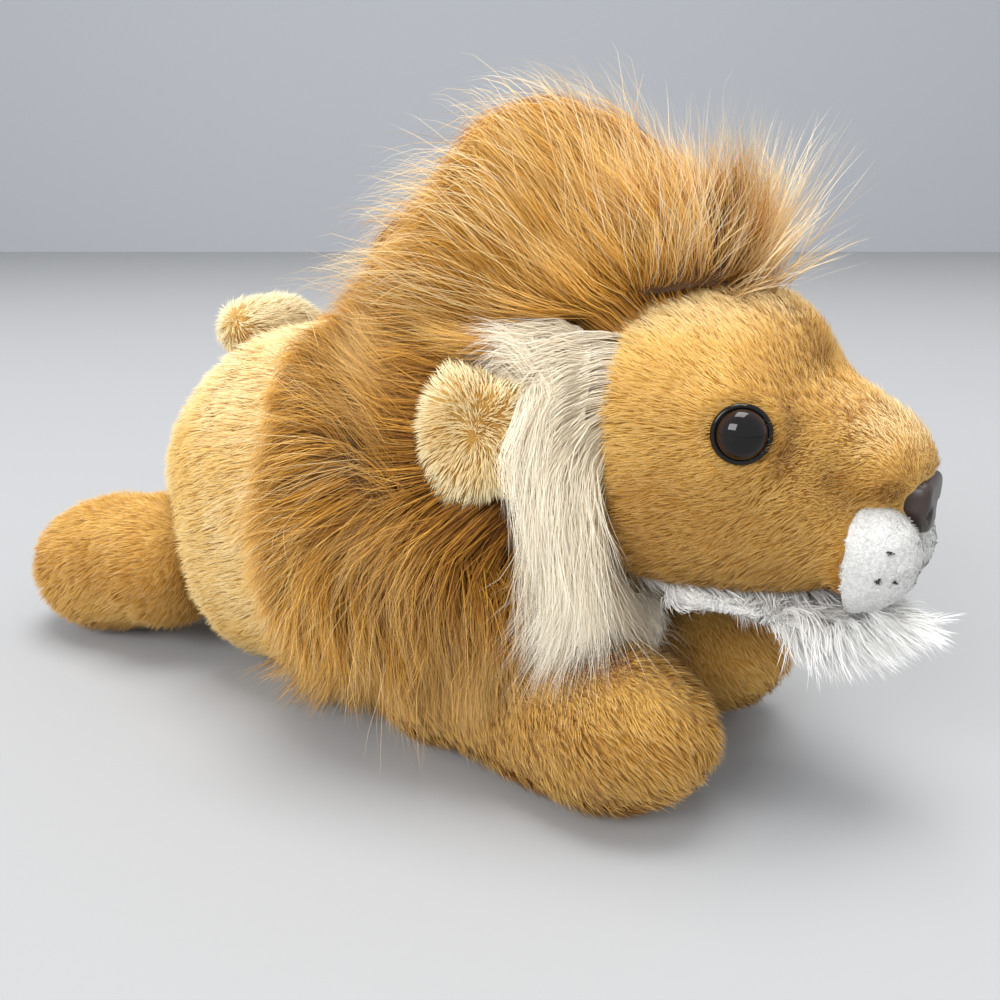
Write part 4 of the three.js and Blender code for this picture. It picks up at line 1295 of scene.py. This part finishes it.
class LION_OT_ears(bpy.types.Operator):
    """Soft ears whose paler rim is painted light"""

    bl_idname = "lion.ears"
    bl_label = "Ears"

    def execute(self, context):
        pile = settings("lion_pile")
        for name, side in SIDES:
            node = f"ear_{name}"
            ear = core(f"{node}_cloth", node, 0.0008, 0.0018)
            apply_modifier(ear, "SUBSURF", levels=1, render_levels=1)
            shade_smooth(ear)
            fit(ear, "tan_cloth", node, node, padding=0.4)
            _surfaces[node] = Surface(ear)
            middle = np.array([42, side * 41.5, 85]) * MM

            def flow(points, normals, middle=middle):
                return unit(points - middle) + np.array([-0.2, 0, -0.25])

            def tint(points, normals, rng, middle=middle):
                away = np.linalg.norm((points - middle)[:, [0, 2]], axis=1)
                # Painted light: the ears are tinted high, as lit from above, and paler still towards the
                # rim, as light catching the edge.
                return tan_tint(points, normals, rng, 0.80) + 0.26 * smooth(0.006, 0.014, away)

            short_pile(f"{node}_pile", _surfaces[node], node, "tan_pile", 101 + (side < 0),
                       4.0, pile.short_length * 0.80, flow, tint, everywhere, lift=42)
        return {"FINISHED"}


class LION_OT_tail(bpy.types.Operator):
    """Tail over the rump, with its brown tuft"""

    bl_idname = "lion.tail"
    bl_label = "Tail"

    def execute(self, context):
        pile = settings("lion_pile")
        tail = core("tail_cloth", "tail", 0.0018, 0.0022)
        fit(tail, "tan_cloth", "tail", "tail", padding=0.6)

        def flow(points, normals):
            return np.tile([-0.1, 0.8, -0.5], (len(points), 1))

        # Painted light: the tail is tinted much paler than the trunk, as light catching its top.
        short_pile("tail_pile", Surface(tail), "tail", "tan_pile", 111, 2.8,
                   pile.short_length, flow, lambda p, n, r: tan_tint(p, n, r, 0.98), everywhere)
        tuft = core("tail_tuft_cloth", "tail_tuft", 0.0025, 0.0018)
        fit(tuft, "brown_cloth", "tail", "tail_tuft")
        long_pile("tail_tuft_pile", Surface(tuft), "tail", "brown_pile", 113, 3.0, 0.2,
                  0.014, lambda p, n: np.tile([-0.1, 0.1, -1.0], (len(p), 1)), brown_tint,
                  everywhere, lifts=(0.3, 0.0), steps=4)
        return {"FINISHED"}


# ---------------------------------------------------------------- face


class LION_OT_muzzle(bpy.types.Operator):
    """Muzzle of white looped pile with dark whisker spots"""

    bl_idname = "lion.muzzle"
    bl_label = "Muzzle"

    def execute(self, context):
        muzzle = core("muzzle_cloth", "muzzle_patch", 0.0006, 0.0012)
        apply_modifier(muzzle, "SUBSURF", levels=1, render_levels=1)
        shade_smooth(muzzle)
        fit(muzzle, "white_cloth", "head", "muzzle_patch", padding=0.5)
        surface = Surface(muzzle)

        def flow(points, normals):
            return drift_vectors(points, 0.0016, 7)

        def tint(points, normals, rng):
            return 0.45 + rng.normal(0, 0.2, len(points))

        short_pile("muzzle_pile", surface, "head", "looped_pile", 121, 5.8, 0.0012, flow, tint,
                   everywhere, lift=35, width=0.00030, tangle=1.2)
        self.whisker_spots(surface)
        return {"FINISHED"}

    def whisker_spots(self, surface):
        """Stitches of dark thread where the whiskers would grow."""
        rng = np.random.default_rng(127)
        places = np.array([(123, -16, 66.5), (121.5, -17, 60.5), (124, -14.5, 60.5)]) * MM
        places = np.concatenate([places, places * [1, -1, 1]])
        feet, ups, _ = surface.nearest(places)
        feet, ups = np.repeat(feet, 18, axis=0), np.repeat(ups, 18, axis=0)
        start = feet + rng.normal(0, 0.00026, feet.shape)
        lay = unit(rng.normal(size=feet.shape) * [1, 1, 0.3])
        paths = np.stack([start - ups * 0.0002, start + ups * 0.0007 + lay * 0.0002,
                          start + ups * 0.0007 + lay * 0.0005], axis=1)
        sides = ribbon_sides(lay, ups, rng, 0.8)
        taper = np.tile([0.00013, 0.00012], (len(start), 1))
        spots = strands("muzzle_spots", paths, taper, sides, rng.uniform(0.2, 0.8, len(start)),
                        finish("spot_thread"), ups, 0.3)
        ride_on(spots, "head", slot_of("spot_thread"))


def spun(name, profile, turn_steps):
    """A closed form turned about Z from a profile of (radius, height) pairs, in metres."""
    mesh = bpy.data.meshes.new(name)
    edges = [(k, k + 1) for k in range(len(profile) - 1)]
    mesh.from_pydata([(radius, 0, height) for radius, height in profile], edges, [])
    obj = bpy.data.objects.new(name, mesh)
    bpy.context.scene.collection.objects.link(obj)
    activate(obj)
    bpy.ops.object.mode_set(mode="EDIT")
    bpy.ops.mesh.select_all(action="SELECT")
    bpy.ops.mesh.spin(steps=turn_steps, angle=2 * math.pi, center=(0, 0, 0), axis=(0, 0, 1))
    bpy.ops.mesh.select_all(action="SELECT")
    bpy.ops.mesh.remove_doubles(threshold=1e-6)
    bpy.ops.mesh.normals_make_consistent(inside=False)
    bpy.ops.object.mode_set(mode="OBJECT")
    return obj


def eye_material():
    """Glossy plastic: a dark brown iris round a black pupil, and a black rim."""
    material, tree, shader = new_material("eye_plastic")
    across = tree.nodes.new("ShaderNodeAttribute")
    across.attribute_name = "across"
    black = (0.002,) * 3
    rings = ramp(tree, across.outputs["Fac"], (0.0, black), (0.56, black), (0.66, (0.010, 0.004, 0.002)),
                 (0.78, (0.020, 0.008, 0.003)), (0.82, black), (1.0, (0.004, 0.003, 0.003)))
    tree.links.new(rings, shader.inputs["Base Color"])
    shader.inputs["Roughness"].default_value = 0.05
    shader.inputs["Specular IOR Level"].default_value = 0.35
    return material


class LION_OT_eyes(bpy.types.Operator):
    """Safety eyes: black rims and glossy domes"""

    bl_idname = "lion.eyes"
    bl_label = "Eyes"

    def execute(self, context):
        face = settings("lion_face")
        rim, dome, rise = face.eye_radius, face.dome_radius, face.dome_height
        lip, shaft, depth, chamfer, seat = 0.0009, 0.0020, 0.012, 0.0003, 0.0036
        profile = [(0, -depth), (shaft - chamfer, -depth), (shaft, chamfer - depth), (shaft, 0),
                   (rim - chamfer, 0), (rim, chamfer), (rim, lip), (rim - chamfer, lip + chamfer),
                   (dome + 0.00035, lip + 0.0004), (dome, lip + 0.0002)]
        rings = 14
        for k in range(1, rings + 1):
            angle = math.pi / 2 * k / rings
            radius = dome * math.cos(angle) if k < rings else 0
            profile.append((radius, lip + 0.0002 + rise * math.sin(angle)))
        material = eye_material()
        for name, side in SIDES:
            node = f"eye_{name}"
            eye = spun(f"{node}_dome", profile, 48)
            radius = np.linalg.norm(points_of(eye.data)[:, :2], axis=1)
            across = eye.data.attributes.new("across", "FLOAT", "POINT")
            across.data.foreach_set("value", (radius / rim).astype(np.float32))
            out, up = math.radians(26), math.radians(7)
            flat = math.cos(up)
            normal = Vector((math.sin(out) * flat, side * math.cos(out) * flat, math.sin(up)))
            solid = points_of(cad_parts[node].data)
            along = solid @ np.array(normal)
            front = solid[along > along.max() - 1e-5].mean(axis=0)
            place = Matrix.Translation(Vector(front) - normal * (lip + seat))
            eye.data.transform(place @ normal.to_track_quat("Z", "Y").to_matrix().to_4x4())
            shade_smooth(eye)
            activate(eye)
            bpy.ops.object.shade_smooth_by_angle(angle=math.radians(50))
            dress(eye, material)
            ride_on(eye, "head", "eye_plastic", node)
        return {"FINISHED"}


def nose_material():
    material, tree, shader = new_material("nose_plastic")
    place = object_place(tree)
    patches = noise(tree, place, 220, 3)
    tone = ramp(tree, patches, (0.3, (0.022, 0.013, 0.011)), (0.7, (0.050, 0.032, 0.028)))
    tree.links.new(tone, shader.inputs["Base Color"])
    worn = ramp(tree, patches, (0.3, (0.30,) * 3), (0.7, (0.44,) * 3))
    tree.links.new(worn, shader.inputs["Roughness"])
    bump(tree, shader, noise(tree, place, 2600, 2), settings("lion_face").nose_grain)
    return material


class LION_OT_nose(bpy.types.Operator):
    """Moulded nose with two nostrils"""

    bl_idname = "lion.nose"
    bl_label = "Nose"

    def execute(self, context):
        nose = copy_of_nodes("nose_moulding", "nose")
        apply_modifier(nose, "REMESH", mode="VOXEL", voxel_size=0.00045)
        apply_modifier(nose, "SMOOTH", factor=0.5, iterations=8)
        shade_smooth(nose)
        dress(nose, nose_material())
        ride_on(nose, "head", "nose_plastic", "nose")
        return {"FINISHED"}


class LION_OT_fittings(bpy.types.Operator):
    """Washers inside the head"""

    bl_idname = "lion.fittings"
    bl_label = "Washers"

    def execute(self, context):
        material, tree, shader = new_material("washer_plastic")
        place = object_place(tree)
        tone = ramp(tree, noise(tree, place, 300, 2), (0.3, (0.74, 0.73, 0.68)), (0.7, (0.82, 0.81, 0.77)))
        tree.links.new(tone, shader.inputs["Base Color"])
        shader.inputs["Roughness"].default_value = 0.5
        for node in ("eye_washer_left", "eye_washer_right", "nose_washer"):
            dress(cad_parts[node], material)
        return {"FINISHED"}


# ---------------------------------------------------------------- stage


def plain_plane(name, place, colour):
    width = 8
    deselect()
    bpy.ops.mesh.primitive_plane_add(size=width, location=place)
    plane = bpy.context.object
    plane.name = name
    material, _, shader = new_material(f"{name}_paint")
    shader.inputs["Base Color"].default_value = (*colour, 1)
    shader.inputs["Roughness"].default_value = 0.7
    shader.inputs["Specular IOR Level"].default_value = 0.1
    dress(plane, material)
    return plane


def area_lamp(name, place, target, size, power, colour):
    lamp = bpy.data.lights.new(name, "AREA")
    lamp.shape = "RECTANGLE"
    lamp.size, lamp.size_y = size
    lamp.energy = power
    lamp.color = colour
    obj = bpy.data.objects.new(name, lamp)
    obj.location = place
    obj.rotation_euler = (Vector(target) - Vector(place)).to_track_quat("-Z", "Y").to_euler()
    bpy.context.scene.collection.objects.link(obj)


class LION_OT_stage(bpy.types.Operator):
    """Pale floor and backdrop, soft light and the camera"""

    bl_idname = "lion.stage"
    bl_label = "Stage"

    def execute(self, context):
        stage = settings("lion_stage")
        turn, rise = stage.camera_azimuth, stage.camera_elevation
        back = Vector((math.sin(turn) * math.cos(rise), -math.cos(turn) * math.cos(rise), math.sin(rise)))
        right = Vector((math.cos(turn), math.sin(turn), 0))
        up = back.cross(right)
        target = Vector((0.0179, 0.0072, 0.0552))
        data = bpy.data.cameras.new("camera")
        data.lens = stage.lens
        data.sensor_width = 36
        data.clip_start, data.clip_end = 0.01, 20
        camera = bpy.data.objects.new("camera", data)
        camera.matrix_world = Matrix.Translation(target + back * stage.camera_distance) @ Matrix(
            (right, up, back)).transposed().to_4x4()
        bpy.context.scene.collection.objects.link(camera)
        bpy.context.scene.camera = camera
        bpy.context.scene.view_settings.view_transform = "Standard"
        plain_plane("floor", (0, 0, 0), stage.floor)
        wall = plain_plane("backdrop", (-back.x * 3, -back.y * 3, 2), stage.backdrop)
        wall.rotation_euler = (math.pi / 2, 0, turn)
        middle = (0.0, 0.0, 0.06)
        area_lamp("key", (0.05, 0.0, 2.2), middle, (1.3, 1.2), stage.key, (1.0, 0.99, 0.97))
        area_lamp("fill", (-0.3, -2.1, 1.3), middle, (1.3, 0.9), stage.fill, (0.98, 0.99, 1.0))
        world = bpy.data.worlds.new("studio")
        bpy.context.scene.world = world
        world.use_nodes = True
        background = world.node_tree.nodes["Background"]
        background.inputs["Color"].default_value = (0.97, 0.98, 1.0, 1)
        background.inputs["Strength"].default_value = 0.85
        return {"FINISHED"}


class LION_PT_panel(bpy.types.Panel):
    """The pieces of the lion"""

    bl_label = "Plush lion"
    bl_idname = "LION_PT_panel"
    bl_space_type = "VIEW_3D"
    bl_region_type = "UI"
    bl_category = "Plush lion"

    def draw(self, context):
        for group in GROUPS:
            box = self.layout.box()
            for key in group[1].__annotations__:
                box.prop(getattr(context.scene, group[0]), key)
        for operator in OPERATORS:
            self.layout.operator(operator.bl_idname)


GROUPS = (
    ("lion_skin", LionSkinSettings), ("lion_pile", LionPileSettings), ("lion_face", LionFaceSettings),
    ("lion_stage", LionStageSettings),
)
OPERATORS = (
    LION_OT_stage, LION_OT_torso, LION_OT_head, LION_OT_legs, LION_OT_ears, LION_OT_mane, LION_OT_ruffs,
    LION_OT_beard, LION_OT_tail, LION_OT_muzzle, LION_OT_eyes, LION_OT_nose, LION_OT_fittings,
)


def register():
    for name, group in GROUPS:
        bpy.utils.register_class(group)
        setattr(bpy.types.Scene, name, PointerProperty(type=group))
    for operator in OPERATORS:
        bpy.utils.register_class(operator)
    bpy.utils.register_class(LION_PT_panel)


def unregister():
    bpy.utils.unregister_class(LION_PT_panel)
    for operator in reversed(OPERATORS):
        bpy.utils.unregister_class(operator)
    for name, group in reversed(GROUPS):
        delattr(bpy.types.Scene, name)
        bpy.utils.unregister_class(group)


def main():
    register()
    for operator in OPERATORS:
        call = getattr(bpy.ops.lion, operator.bl_idname.split(".")[1])
        if call() != {"FINISHED"}:
            raise RuntimeError(f"{operator.bl_label} wasn't finished")
    for copy in _copies.values():
        bpy.data.objects.remove(copy)
    deselect()


if __name__ == "__main__":
    main()
